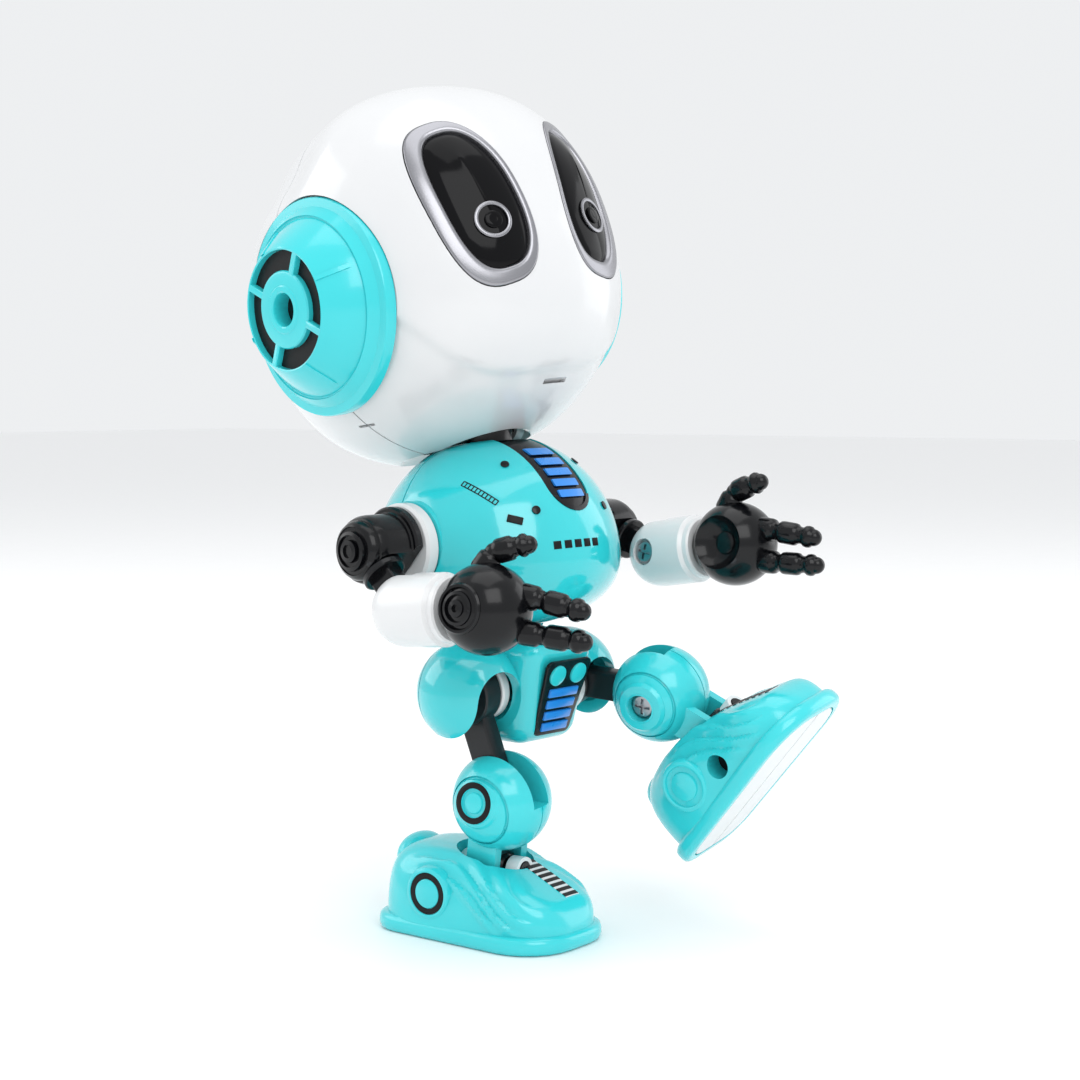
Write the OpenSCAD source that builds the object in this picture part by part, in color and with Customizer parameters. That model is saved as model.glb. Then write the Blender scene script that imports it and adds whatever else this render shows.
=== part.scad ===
// Poseable toy robot, standing on its right foot, sizes in millimetres.
// It faces -Y, its right side is -X, and the origin is the centre of the standing sole.

/* [Head] */
// Half width of the head
head_half_x = 24; // [20:0.2:26]
// Half depth of the head
head_half_y = 26; // [22:0.2:28]
// Half height of the head
head_half_z = 26.2; // [22:0.2:28]
// Wall of the head casing
head_wall = 1.6; // [1:0.1:2.4]
// Squareness of the head's outline, 2 is an ellipsoid
head_power = 2.35; // [2:0.05:3]
// Outer radius of the ear disc
ear_r = 15; // [12:0.25:16]
// How far the ear disc stands out of the head
ear_out = 4.4; // [3:0.2:6]
// Half length of an eye opening
eye_half_h = 11; // [8:0.25:12]
// Half width of an eye opening
eye_half_w = 5; // [4.5:0.25:6.5]

/* [Body] */
// Radius of the ball-shaped torso
torso_r = 17.5; // [16:0.25:19]
// Wall of the torso and pelvis castings
cast_wall = 1.3; // [1:0.1:2]
// Height of the torso from waist pivot to neck pivot
torso_h = 27.5; // [27.2:0.1:28.5]
// Height of the shoulder axis above the waist pivot
shoulder_z = 11.6; // [10:0.2:13]
// Half distance between the shoulder collars
shoulder_x = 17.2; // [16.6:0.1:18.2]
// Half distance between the hip centres
hip_half = 10; // [9.6:0.1:11]
// Radius of the hip domes
hip_r = 7.3; // [7:0.1:8]
// Height of the waist pivot above the hip axis
waist_h = 8.9; // [8.6:0.1:10]
// Waist pivot behind the hip axis
waist_back = 2.6; // [1:0.1:3]

/* [Arms] */
// Shoulder axis to elbow axis
upper_arm_len = 11; // [9.8:0.1:12]
// Radius of the forearm
forearm_r = 4.9; // [4.6:0.1:5.4]
// Elbow axis to the wrist face
forearm_len = 8; // [8:0.1:14]
// Radius of the palm
palm_r = 6; // [5:0.1:6.4]
// Thickness of a finger
finger_d = 3.3; // [2.8:0.1:3.6]

/* [Legs] */
// Hip centre to knee centre
thigh_len = 15.6; // [15.2:0.1:18]
// Radius of the knee ball
knee_r = 6.9; // [6.5:0.1:7.4]
// Ankle pivot to knee centre
shin_len = 10; // [9.8:0.1:12]
// Thickness of the thigh link
link_t = 2.8; // [2.2:0.1:3]
// Height of the ankle pivot above the sole
ankle_z = 9.4; // [9.2:0.1:11]

/* [Feet] */
// Length of the sole
foot_l = 31.5; // [30:0.5:38]
// Width of the sole
foot_w = 19.6; // [19:0.2:24]
// Thickness of the sole rim
rim_t = 2.4; // [2:0.1:3]
// Ankle pivot ahead of the middle of the sole
ankle_fwd = 1; // [0:0.25:3]

/* [Clearances] */
// Gap between pieces that move on each other
gap = 0.25; // [0.2:0.01:0.35]
// Gap round a pin in its bore
pin_gap = 0.15; // [0.1:0.01:0.2]

/* [Pose] */
// Standing ankle, leaning to the robot's right
stand_roll = 7; // [5:1:9]
// Standing ankle, shin leaning forward
stand_ankle = 12; // [8:1:14]
// Standing knee bend
stand_knee = 28; // [24:1:32]
// Standing hip, leg forward of the pelvis
stand_hip = 16; // [12:1:20]
// Standing hip splay
stand_splay = 9; // [6:1:12]
// Raised hip splay
kick_splay = 16; // [12:1:20]
// Raised hip, leg forward of the pelvis
kick_hip = 84; // [78:1:85]
// Raised knee bend
kick_knee = 23; // [18:1:30]
// Raised foot, toes pulled up
kick_ankle = 12; // [4:1:14]
// Raised foot, sole rolled outwards
kick_roll = 5; // [0:1:8]
// Torso turned at the waist, towards its right
torso_turn = 2; // [0:1:8]
// Torso leaning back
torso_lean = 9; // [6:1:12]
// Head turned at the neck, towards its right
head_turn = 4; // [0:1:8]
// Head leaning back at the neck
head_lean = 13; // [0:1:16]
// Head leaning to its right
head_roll = 4; // [0:1:8]
// Upper arm forward, right and left
arm_swing = [38, 66]; // [0:1:90]
// Upper arm turned inwards, right and left
arm_turn = [8, -6]; // [-30:1:45]
// Elbow bend, right and left
elbow_bend = [48, 24]; // [0:1:90]
// Hand bent inwards at the wrist, right and left
wrist_bend = [24, 0]; // [-10:1:40]

/* [Hidden] */
$fn = 48;
TURQ = "#45d5dc";
BLACK = "#15171b";
WHITE = "#f4f5f6";
BLUE = "#1f9be8";
STEEL = "#b9bdc1";

link_w = 4.2;              // thigh link, front to back
knee_disc_r = 3.4;         // lower eye of the thigh link
hip_disc_r = 4.4;          // upper eye of the thigh link
hip_disc_t = 3.4;
pin_r = 1.2;               // pins of ankles, waist and neck
lug_t = 1.4;               // lugs that carry those pins
lug_r = 2.4;
lug_x = 2.4;               // inner face of a lug
ball_r = 4.2;              // waist and neck balls
oblique = [0, -1, 1];      // axis on which a hip bush turns
eps = 0.01;

// ---- frames, each from the foot upwards -------------------------------------------------
module on_ankle_r() translate([0, -ankle_fwd, ankle_z]) rotate([0, -stand_roll, 0]) children();
module on_shin_r() on_ankle_r() rotate([stand_ankle, 0, 0]) translate([0, 0, shin_len]) children();
module on_thigh_r() on_shin_r() rotate([-stand_knee, 0, 0]) translate([0, 0, thigh_len]) children();
module on_bush_r() on_thigh_r() rotate([stand_hip, 0, 0]) children();
module on_pelvis() on_bush_r() rotate(-stand_splay, oblique) translate([hip_half, 0, 0]) children();
module on_bush_l() on_pelvis() translate([hip_half, 0, 0]) rotate(kick_splay, oblique) children();
module on_thigh_l() on_bush_l() rotate([-kick_hip, 0, 0]) children();
module on_shin_l() on_thigh_l() translate([0, 0, -thigh_len]) rotate([kick_knee, 0, 0]) children();
module on_ankle_l() on_shin_l() translate([0, 0, -shin_len]) rotate([kick_ankle, 0, 0]) children();
module on_foot_l() on_ankle_l() rotate([0, kick_roll, 0]) translate([0, ankle_fwd, -ankle_z]) children();
module on_waist() on_pelvis() translate([0, waist_back, waist_h]) rotate([0, 0, -torso_turn]) children();
module on_torso() on_waist() rotate([-torso_lean, 0, 0]) children();
module on_neck() on_torso() translate([0, 0, torso_h]) rotate([0, 0, -head_turn]) children();
module on_head() on_neck() rotate([-head_lean, 0, 0]) rotate([0, -head_roll, 0]) translate([0, 0, neck_to_head]) children();
neck_to_head = head_half_z - 3.1;

// An arm is drawn as the right one, outwards is -X, and mirrored for the left.
module side(s) mirror([s == 1 ? 1 : 0, 0, 0]) children();
module on_shoulder(s) on_torso() side(s) translate([-shoulder_x, 0, shoulder_z]) rotate([-arm_swing[s], 0, 0]) children();
module on_upper_arm(s) on_shoulder(s) translate([-elbow_x, 0, 0]) rotate([0, 0, arm_turn[s]]) children();
module on_forearm(s) on_upper_arm(s) translate([0, 0, -upper_arm_len]) rotate([-elbow_bend[s], 0, 0]) children();
module on_hand(s) on_forearm(s) translate([0, 0, -forearm_len]) children();
palm_set = palm_r - 0.6;   // wrist face to the palm's centre
elbow_x = 6.8;             // shoulder collar to the arm's centre line

module rod(r, l, axis = "z") {
    if (axis == "x") rotate([0, 90, 0]) cylinder(r = r, h = l, center = true);
    if (axis == "y") rotate([90, 0, 0]) cylinder(r = r, h = l, center = true);
    if (axis == "z") cylinder(r = r, h = l, center = true);
}
// Sector of a disc of thickness t in the YZ plane, angles from +Y towards +Z
module sector(r, a0, a1, t) rotate([90, 0, 90]) linear_extrude(t, center = true)
    polygon(concat([[0, 0]], [for (i = [0:6]) let (a = a0 + (a1 - a0) * i / 6) r * [cos(a), sin(a)]]));
module rod_x(r, x0, x1) translate([x0, 0, 0]) rotate([0, 90, 0]) cylinder(r = r, h = x1 - x0);
module rod_y(r, y0, y1) translate([0, y0, 0]) rotate([-90, 0, 0]) cylinder(r = r, h = y1 - y0);

// ---- feet ---------------------------------------------------------------------------------
toe_r = 6;
heel_r = 5.6;
module sole_outline(grow = 0) {
    hull() {
        for (s = [-1, 1]) {
            translate([s * (foot_w / 2 - toe_r), -foot_l / 2 + toe_r]) circle(toe_r + grow, $fn = 40);
            translate([s * (foot_w / 2 - heel_r - 1), foot_l / 2 - heel_r]) circle(heel_r + grow, $fn = 40);
        }
    }
}
// The shoe: a low toe cap that rises to a round collar over the ankle.
module shoe_form(inset = 0) {
    hull() {
        for (s = [-1, 1]) translate([s * (foot_w / 2 - 5.6), -foot_l / 2 + 6, rim_t]) sphere(4.6 - inset, $fn = 20);
        translate([0, 0.6, 0]) cylinder(r = 8.6 - inset, h = ankle_z + 1 - inset, $fn = 32);
        translate([0, 1.4, ankle_z + 2.6 - inset]) scale([1, 1.12, 1]) cylinder(r = 6.6 - inset, h = 1, $fn = 32);
        translate([0, foot_l / 2 - 6, rim_t + 5]) sphere(5 - inset, $fn = 20);
        translate([0, foot_l / 2 - 6, rim_t]) sphere(5.4 - inset, $fn = 20);
    }
}
roll_room = 9;         // the cup leaves room for this much ankle roll
module ankle_cup() translate([0, -ankle_fwd, ankle_z]) rotate([0, 0, 90]) rotate([90, 0, 0]) rotate([0, 0, 90 - 58])
    rotate_extrude(angle = 116, $fn = 30) hull() for (s = [-1, 1])
        translate([shin_len, s * shin_len * sin(roll_room)]) circle(knee_r + gap + 0.1, $fn = 28);
module foot_shell() color(TURQ) resize([0, 0, 0]) difference() {
    union() {
        linear_extrude(rim_t) sole_outline();
        intersection() {
            shoe_form();
            translate([-20, -30, 0]) cube([40, 60, 30]);
        }
        for (s = [-1, 1]) translate([s * 6.2, 7.6, 6]) rotate([0, s * 90, 0]) cylinder(r1 = 3.6, r2 = 3.1, h = 2.9, $fn = 32);
    }
    difference() {
        shoe_form(cast_wall);
        translate([-20, -30, -30]) cube([40, 60, 30 + rim_t]);
    }
    translate([0, 0, -eps]) linear_extrude(rim_t + 2 * eps) sole_outline(-cast_wall - 0.4);
    ankle_cup();
    translate([0, -ankle_fwd, ankle_z]) rod(5.4, 12, "z");
    translate([8, -1.6, 4.6]) rod(1.7, 8, "x");
}
module foot_sole() color(WHITE) difference() {
    union() {
        translate([0, 0, 0]) linear_extrude(1.2) sole_outline(-cast_wall - 0.4 - gap);
        for (s = [-1, 1]) hull() {
            translate([0, s * 4.1 - ankle_fwd, ankle_z]) rod(1.9, 2, "y");
            translate([-1.9, s * 4.1 - 1 - ankle_fwd, 1.1]) cube([3.8, 2, 1]);
        }
    }
    translate([0, -ankle_fwd, ankle_z]) rod(pin_r + pin_gap, 14, "y");
    translate([-0.25, -foot_l / 2, -eps]) cube([0.5, foot_l, 0.35]);
}
// Cross piece with one pin along the foot and one across it
module ankle_cross() color(BLACK) {
    intersection() {
        cube([2 * (lug_x - gap), 5, 4.4], center = true);
        sphere(3.1);
    }
    rod(pin_r, 10.4, "y");
    rod(pin_r, 2 * (lug_x + lug_t), "x");
}

// ---- knee balls ---------------------------------------------------------------------------
slot_half = link_t / 2 + gap;
boss_r = 1.5;
module knee_slot() {
    rod(knee_disc_r + gap, 2 * slot_half, "x");
    sector(knee_r + 2, 90 - 79, 90 + 79, 2 * slot_half);
}
// s is -1 for the half on -X and 1 for the half on +X; the half with the screw head is s = head
module shin_half(s, head) color(TURQ) difference() {
    union() {
        intersection() {
            rotate([0, 0, s > 0 ? 180 : 0]) sphere(knee_r, $fn = 72);
            translate([s > 0 ? 0.02 : -20.02, -20, -20]) cube([20, 40, 40]);
        }
        // lug down to the ankle pin
        translate([s * (lug_x + lug_t / 2), 0, -shin_len]) rod(lug_r, lug_t, "x");
        translate([s * (lug_x + lug_t / 2) - lug_t / 2, -lug_r, -shin_len]) cube([lug_t, 2 * lug_r, shin_len - 4]);
        if (s != head) rod_x(2.9, min(s * 5.6, s * 7.1), max(s * 5.6, s * 7.1));
    }
    difference() {
        knee_slot();
        if (s == head) rod_x(boss_r, min(0, s * 3), max(0, s * 3));
    }
    translate([s * (lug_x + lug_t / 2), 0, -shin_len]) rod(pin_r + pin_gap, 3 * lug_t, "x");
    // screw shank, and the counterbore of its head
    rod_x(0.85, min(-head * 4.6, head * 9), max(-head * 4.6, head * 9));
    if (s == head) rod_x(1.9, min(s * 4.9, s * 9), max(s * 4.9, s * 9));
    if (s != head) difference() {
        rod_x(2.2, min(s * 6.8, s * 9), max(s * 6.8, s * 9));
        rod_x(1.4, min(s * 6, s * 9), max(s * 6, s * 9));
    }
}
module shin_screw(head) color(STEEL) rotate([0, head * 90, 0]) difference() {
    union() {
        translate([0, 0, 4.95]) cylinder(r = 1.7, h = 0.9);
        translate([0, 0, -4.5]) cylinder(r = 0.8, h = 9.6);
    }
    translate([0, 0, 5.6]) for (a = [0, 90]) rotate([0, 0, a]) cube([2.2, 0.5, 0.9], center = true);
}
// Origin at the hip centre, the knee is thigh_len below
module thigh_link() color(BLACK) difference() {
    union() {
        rod(hip_disc_r, hip_disc_t, "x");
        translate([-link_t / 2, -link_w / 2, -thigh_len]) cube([link_t, link_w, thigh_len]);
        translate([0, 0, -thigh_len]) rod(knee_disc_r, link_t, "x");
    }
    rod(1.6, 8, "x");
    translate([0, 0, -thigh_len]) rod(boss_r + pin_gap, 8, "x");
}
// s is the side of the robot's middle: 1 for the right hip, -1 for the left
module hip_bush(s) color(WHITE) {
    translate([s * (hip_disc_t / 2 + gap + 0.8), 0, 0]) rod(4.5, 1.6, "x");
    rod_x(1.6 - pin_gap, min(-s * 1.6, s * 3), max(-s * 1.6, s * 3));
    // trunnions on the oblique axis, on arms that pass the link's eye
    rotate([45, 0, 0]) for (up = [0, 180]) rotate([up, 0, 0]) {
        translate([0, 0, hip_disc_r + gap]) cylinder(r = 0.8, h = hip_r - cast_wall - 0.2 - hip_disc_r - gap);
        translate([min(0, s * 2.5), -0.8, hip_disc_r + gap]) cube([2.5, 1.6, 0.5]);
        translate([s > 0 ? 1.95 : -2.5, -0.8, 3.8]) cube([0.55, 1.6, hip_disc_r + gap - 3.6]);
    }
}

// ---- pelvis -------------------------------------------------------------------------------
hip_slot_top = 84;      // from straight down, forwards
hip_slot_back = 25;
block_r = 2.5;         // rounding of the pelvis block
block_top = [4.3, -6.9, 4.7];      // its corner centres: half width, front, height
block_low = [3.5, -3.4, -5.1];
block_rear = [6.2, 3.4, 3.3];      // how far they lie behind, above and below, and the upper ones' height
module pelvis_form(inset = 0) {
    for (s = [-1, 1]) translate([s * hip_half, 0, 0]) sphere(hip_r - inset, $fn = inset > 0 ? 18 : 34);
    hull() for (s = [-1, 1]) {
        translate([s * block_top[0], block_top[1], block_top[2]]) sphere(block_r - inset, $fn = 14);
        translate([s * block_top[0], block_rear[0], block_rear[2]]) sphere(block_r - inset, $fn = 14);
        translate([s * block_low[0], block_low[1], block_low[2]]) sphere(block_r - inset, $fn = 14);
        translate([s * block_low[0], block_rear[1], block_low[2]]) sphere(block_r - inset, $fn = 14);
    }
}
hip_slot_half = 4.1;
// The slot ends in front in a round hole
module hip_slots() for (s = [-1, 1]) translate([s * (hip_half + 0.25), 0, 0]) {
    sector(hip_r + 0.6, -90 - hip_slot_top, -90 + hip_slot_back, 2 * hip_slot_half);
    rotate([-hip_slot_top, 0, 0]) translate([0, 0, -hip_r - 0.6])
        rotate([0, 0, 5]) cylinder(r = hip_slot_half, h = hip_r - 1, $fn = 36);
}
pelvis_seam = 3.4;
module pelvis_half(front) color(TURQ) resize([0, 0, 0]) difference() {
    intersection() {
        pelvis_form();
        translate([-30, front ? -30 + pelvis_seam : pelvis_seam + 0.04, -30]) cube([60, front ? 30 : 30 - 0.04, 60]);
    }
    pelvis_form(cast_wall);
    hip_slots();
    translate([0, waist_back, 2]) cylinder(r = 3.2 + gap, h = 9);
}
module pelvis_front_shell() on_pelvis() pelvis_half(true);
module pelvis_rear_shell() on_pelvis() pelvis_half(false);
// Plane of the block's sloping front face
block_slope = atan2(block_low[1] - block_top[1], block_top[2] - block_low[2]);
module panel_plane() translate([0, (block_top[1] + block_low[1]) / 2, (block_top[2] + block_low[2]) / 2])
    rotate([90 + block_slope, 0, 0]) translate([0, 0, block_r + 0.04]) children();
module pelvis_panel() on_pelvis() color(BLACK) panel_plane() linear_extrude(0.5) hull() {
    for (s = [-1, 1]) {
        translate([s * 3.2, 4.7]) circle(0.9, $fn = 24);
        translate([s * 2.2, -4.5]) circle(0.7, $fn = 24);
    }
}
module pelvis_trim() on_pelvis() panel_plane() translate([0, 0, 0.52]) {
    color(TURQ) for (s = [-1, 1]) translate([s * 1.9, 3.6, 0]) cylinder(r = 1.3, h = 0.3);
    color(BLUE) for (i = [0:3]) translate([-2.3, 0.8 - i * 1.5, 0]) cube([4.6, 1, 0.3]);
}

// ---- waist and torso ----------------------------------------------------------------------
module waist_swivel() on_waist() color(BLACK) difference() {
    union() {
        intersection() {
            sphere(ball_r);
            translate([-10, -10, -1.6]) cube([20, 20, ball_r + 0.6]);
        }
        translate([0, 0, -waist_h + 3.4]) cylinder(r = 3.2, h = waist_h - 3.4);
        translate([0, 0, -waist_h + 2.9]) cylinder(r = 4.4, h = 1.3);
        rod(pin_r, 2 * (ball_r + gap + lug_t + 0.4), "x");
    }
}
torso_cz = 9;
torso_top = torso_h - 2.3;
// Half profile of the torso: a ball drawn in towards its flat bottom
module torso_profile(inset = 0) intersection() {
    translate([0, torso_cz]) circle(torso_r - inset, $fn = 96);
    polygon([[0, inset - 1.2], [torso_r - 8.5, inset - 1.2], [torso_r - 4.6 - 0.6 * inset, 0.2 + 0.8 * inset],
        [torso_r - 1.9 - 0.9 * inset, 3.6 + 0.4 * inset], [torso_r + 0.1 - inset, 7.4],
        [torso_r + 0.1, torso_top - inset], [0, torso_top - inset]]);
}
torso_seam = 2.2;
boss_in = 13;          // inner face of the shoulder boss
// Each half is drawn turned, so that the seams of its round faces lie on the half cut away
module torso_half(front) color(TURQ) difference() {
    intersection() {
        union() {
            rotate([0, 0, front ? 90 : -90]) rotate_extrude($fn = 96) difference() {
                torso_profile();
                torso_profile(cast_wall);
            }
            // shoulder bosses
            for (s = [-1, 1]) translate([0, 0, shoulder_z])
                rod_x(6.2, min(s * boss_in, s * (shoulder_x - 0.9)), max(s * boss_in, s * (shoulder_x - 0.9)));
            // lugs of the waist pin
            for (s = [-1, 1]) translate([s * (ball_r + gap + lug_t / 2 + 0.2), 0, 0]) {
                rod(1.9, lug_t, "x");
                translate([-lug_t / 2, -1.9, 0]) cube([lug_t, 3.8, 3]);
            }
        }
        translate([-30, front ? -30 + torso_seam : torso_seam + 0.04, -30]) cube([60, front ? 30 : 30 - 0.04, 90]);
    }
    rotate([0, 0, front ? 90 : -90]) {
        sphere(ball_r + 0.5);
        translate([0, 0, -4]) cylinder(r = 4.9, h = 4.4);
        translate([0, 0, torso_h - 6]) cylinder(r = ball_r + gap, h = 10);
    }
    rod(pin_r + pin_gap, 20, "x");
    translate([0, 0, shoulder_z]) {
        rod(3 + pin_gap, 60, "x");
        for (s = [-1, 1]) rod_x(6.2, min(s * (shoulder_x - 0.9), s * 30), max(s * (shoulder_x - 0.9), s * 30));
    }
}
module torso_front_shell() on_torso() color(TURQ) difference() {
    torso_half(true);
    difference() {
        tongue(0.15);
        translate([0, 0, torso_cz]) rotate([0, 0, 90]) sphere(torso_r - panel_sunk - 0.04, $fn = 96);
    }
}
module torso_rear_shell() on_torso() torso_half(false);
panel_sunk = 0.6;      // the chest panel's seat below the skin
// Tongue-shaped outline on the chest, drawn in the XZ plane
module tongue(grow = 0) rotate([90, 0, 0]) linear_extrude(30) {
    translate([-3.6 - grow, 17.6]) square([7.2 + 2 * grow, 12]);
    translate([0, 17.6]) intersection() {
        circle(3.6 + grow, $fn = 40);
        translate([-10, -10]) square([20, 10]);
    }
}
module chest_layer(r0, r1) intersection() {
    difference() {
        translate([0, 0, torso_cz]) sphere(r1, $fn = 96);
        translate([0, 0, torso_cz]) sphere(r0, $fn = 96);
    }
    translate([-30, -30, -10]) cube([60, 60, torso_h - 2.6 + 10]);
}
module chest_panel() on_torso() color(BLACK) difference() {
    intersection() {
        chest_layer(torso_r - panel_sunk, torso_r - panel_sunk + 0.4);
        tongue();
    }
    translate([0, 0, torso_h - 6]) cylinder(r = 7.4, h = 10);
}
module chest_bars() on_torso() color(BLUE) intersection() {
    chest_layer(torso_r - panel_sunk + 0.42, torso_r - 0.05);
    rotate([90, 0, 0]) linear_extrude(30) for (i = [0:4]) translate([-2.3, 16.3 + i * 1.55]) square([4.6, 1.05]);
}
module collar() color(WHITE) difference() {
    rod_x(6, -1.4, 0.8);
    rod_x(3 + pin_gap, -5, 5);
}
module torso_screws() on_torso() color(BLACK) for (p = [[-6.4, 19.2], [6.4, 19.2], [5.2, 14.6], [-5.2, 14.6]]) {
    up = (p[1] - torso_cz) / torso_r;
    ahead = sqrt(1 - up * up - pow(p[0] / torso_r, 2));
    translate([0, 0, torso_cz]) rotate([0, acos(up), atan2(-ahead, p[0] / torso_r)])
        translate([0, 0, torso_r + 0.02]) cylinder(r = 0.6, h = 0.3);
}
module neck_swivel() on_neck() color(BLACK) difference() {
    union() {
        sphere(ball_r);
        translate([0, 0, -4.8]) cylinder(r = 3.9, h = 4);
        translate([0, 0, -5.1]) cylinder(r = 5.4, h = 1.2);
        rod(pin_r, 2 * (ball_r + gap + lug_t + 0.4), "x");
    }
    translate([-10, -10, ball_r - 1]) cube(20);
}

// ---- arms, drawn as the right one ---------------------------------------------------------
module shoulder() color(BLACK) difference() {
    union() {
        rod_x(3, -2, shoulder_x - boss_in + gap + 0.1);
        rod_x(4.4, shoulder_x - boss_in + gap, shoulder_x - boss_in + gap + 1.2);
        rod_x(5.6, -3, -1.4 - gap);
        rod_x(4.7, -elbow_x, -2.9);
        translate([-elbow_x, 0, 0]) sphere(4.7, $fn = 48);
        rod_x(2.4, -10.6, -elbow_x);
    }
    translate([-10.7, 0, 0]) rotate([0, 90, 0]) difference() {
        cylinder(r = 1.9, h = 0.5);
        translate([0, 0, -1]) cylinder(r = 1.1, h = 3);
    }
    // seat of the upper arm's neck
    translate([-elbow_x, 0, -6]) cylinder(r = 1.8 + pin_gap, h = 6);
    translate([-elbow_x, 0, -6]) cylinder(r = 8, h = 6 - 3.6);
}
elbow_t = 3;           // thickness of the elbow knuckle
module upper_arm() color(BLACK) difference() {
    union() {
        translate([0, 0, -upper_arm_len]) rod(3.7, elbow_t, "x");
        translate([-elbow_t / 2, -1.9, -upper_arm_len]) cube([elbow_t, 3.8, upper_arm_len - 4.2]);
        translate([0, 0, -3.6 - gap - 0.9]) cylinder(r = 3, h = 0.9);
        translate([0, 0, -5]) cylinder(r = 1.8, h = 4.6);
    }
    translate([0, 0, -upper_arm_len]) rod(1.4 + pin_gap, 10, "x");
}
// Origin at the elbow, the wrist is forearm_len below; outwards is -X
module forearm_form(inset = 0) {
    intersection() {
        sphere(forearm_r - inset, $fn = 64);
        translate([-10, -10, 0]) cube(20);
    }
    translate([0, 0, -forearm_len + 1.2 + inset]) cylinder(r = forearm_r - inset, h = forearm_len - 1.2 - inset + eps);
    if (inset == 0) translate([0, 0, -forearm_len]) cylinder(r = forearm_r - 0.5, h = 2);
}
module forearm_half(s) color(WHITE) difference() {
    intersection() {
        forearm_form();
        translate([s > 0 ? 0.02 : -20.02, -20, -30]) cube([20, 40, 60]);
    }
    // slot of the elbow knuckle
    difference() {
        union() {
            rod(3.7 + gap, elbow_t + 2 * gap, "x");
            sector(forearm_r + 2, 66, 206, elbow_t + 2 * gap);
        }
        if (s > 0) rod_x(1.4, 0, 3);
    }
    rod_x(0.75, -3.2, 9);
    if (s > 0) rod_x(1.75, 3.4, 9);
    // seat of the wrist stud
    translate([0, 0, -forearm_len - 1]) cylinder(r = 2 + pin_gap, h = 4.2);
    translate([0, 0, -forearm_len + 1.6]) cylinder(r = 2.7 + pin_gap, h = 1.6);
    translate([0, 0, -forearm_len - palm_set]) sphere(palm_r + gap, $fn = 64);
}
module elbow_screw() color(STEEL) rotate([0, 90, 0]) difference() {
    union() {
        translate([0, 0, 3.45]) cylinder(r = 1.6, h = 0.8);
        translate([0, 0, -3.1]) cylinder(r = 0.7, h = 6.8);
    }
    translate([0, 0, 4.1]) for (a = [0, 90]) rotate([0, 0, a]) cube([2.1, 0.5, 0.9], center = true);
}
finger_drop = 12;      // fingers lean away from the thumb
module phalanx(l, r) {
    sphere(r, $fn = 32);
    rotate([180, 0, 0]) cylinder(r = r * 0.93, h = l);
    translate([0, 0, -l]) sphere(r * 0.97, $fn = 32);
}
// Origin at the wrist face; the back of the hand is -X, the thumb is -Y
module hand(bend) color(BLACK) {
    // stud held between the forearm halves
    translate([0, 0, -1]) cylinder(r = 2, h = 2.8);
    translate([0, 0, 1.75]) cylinder(r = 2.7, h = 1.3);
    translate([0, 0, -palm_set]) rotate([0, -bend, 0]) difference() {
        union() {
            rotate([0, 0, 90]) sphere(palm_r, $fn = 64);
            for (s = [-1, 1]) translate([0, 0.5 + s * 2.4, -4.2]) rotate([finger_drop - s * 3, 0, 0]) finger(3, 3.2, 1.6);
            translate([0.6, -palm_r + 1.4, 1.2]) rotate([-52, 0, 0]) {
                phalanx(3, finger_d / 2);
                translate([0, 0, -3.4]) rotate([38, 0, 0]) {
                    phalanx(2.8, finger_d / 2);
                    translate([0, 0, -3.2]) rotate([8, 0, 0]) phalanx(1.4, finger_d / 2 * 0.94);
                }
            }
            translate([0, 0, 0.4]) rotate([0, -70, 0]) cylinder(r = 2.6, h = palm_r + 0.2);
        }
        // hollow of the palm, with its small disc
        difference() {
            translate([palm_r + 1.2, 0, -0.4]) sphere(4.6, $fn = 48);
            translate([0, 0, -0.4]) rod_x(1.6, 0, 3.1);
        }
    }
}
module finger(l1, l2, l3) {
    phalanx(l1, finger_d / 2);
    translate([0, 0, -l1 - 0.5]) rotate([0, 8, 0]) {
        phalanx(l2, finger_d / 2);
        translate([0, 0, -l2 - 0.5]) rotate([0, 8, 0]) phalanx(l3, finger_d / 2 * 0.94);
    }
}

// ---- head -----------------------------------------------------------------------------------
function spow(c, p) = sign(c) * pow(abs(c), p);
// Rounded-box egg: rings from bottom to top, cols round
module egg(grow, rings = 21, cols = 42) {
    e = 2 / head_power;
    pts = concat([[0, 0, -head_half_z - grow]],
        [for (i = [1:rings - 1]) let (a = -90 + 180 * i / rings)
            for (j = [0:cols - 1]) let (b = 360 * j / cols)
                [(head_half_x + grow) * spow(cos(a), e) * spow(cos(b), e),
                 (head_half_y + grow) * spow(cos(a), e) * spow(sin(b), e),
                 (head_half_z + grow) * spow(sin(a), e)]],
        [[0, 0, head_half_z + grow]]);
    top = 1 + (rings - 1) * cols;
    faces = concat(
        [for (j = [0:cols - 1]) [0, 1 + j, 1 + (j + 1) % cols]],
        [for (i = [0:rings - 3]) for (j = [0:cols - 1]) let (a = 1 + i * cols, b = a + cols, k = (j + 1) % cols)
            [a + j, b + j, b + k, a + k]],
        [for (j = [0:cols - 1]) let (a = 1 + (rings - 2) * cols) [top, a + (j + 1) % cols, a + j]]);
    polyhedron(pts, faces, convexity = 4);
}
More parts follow.
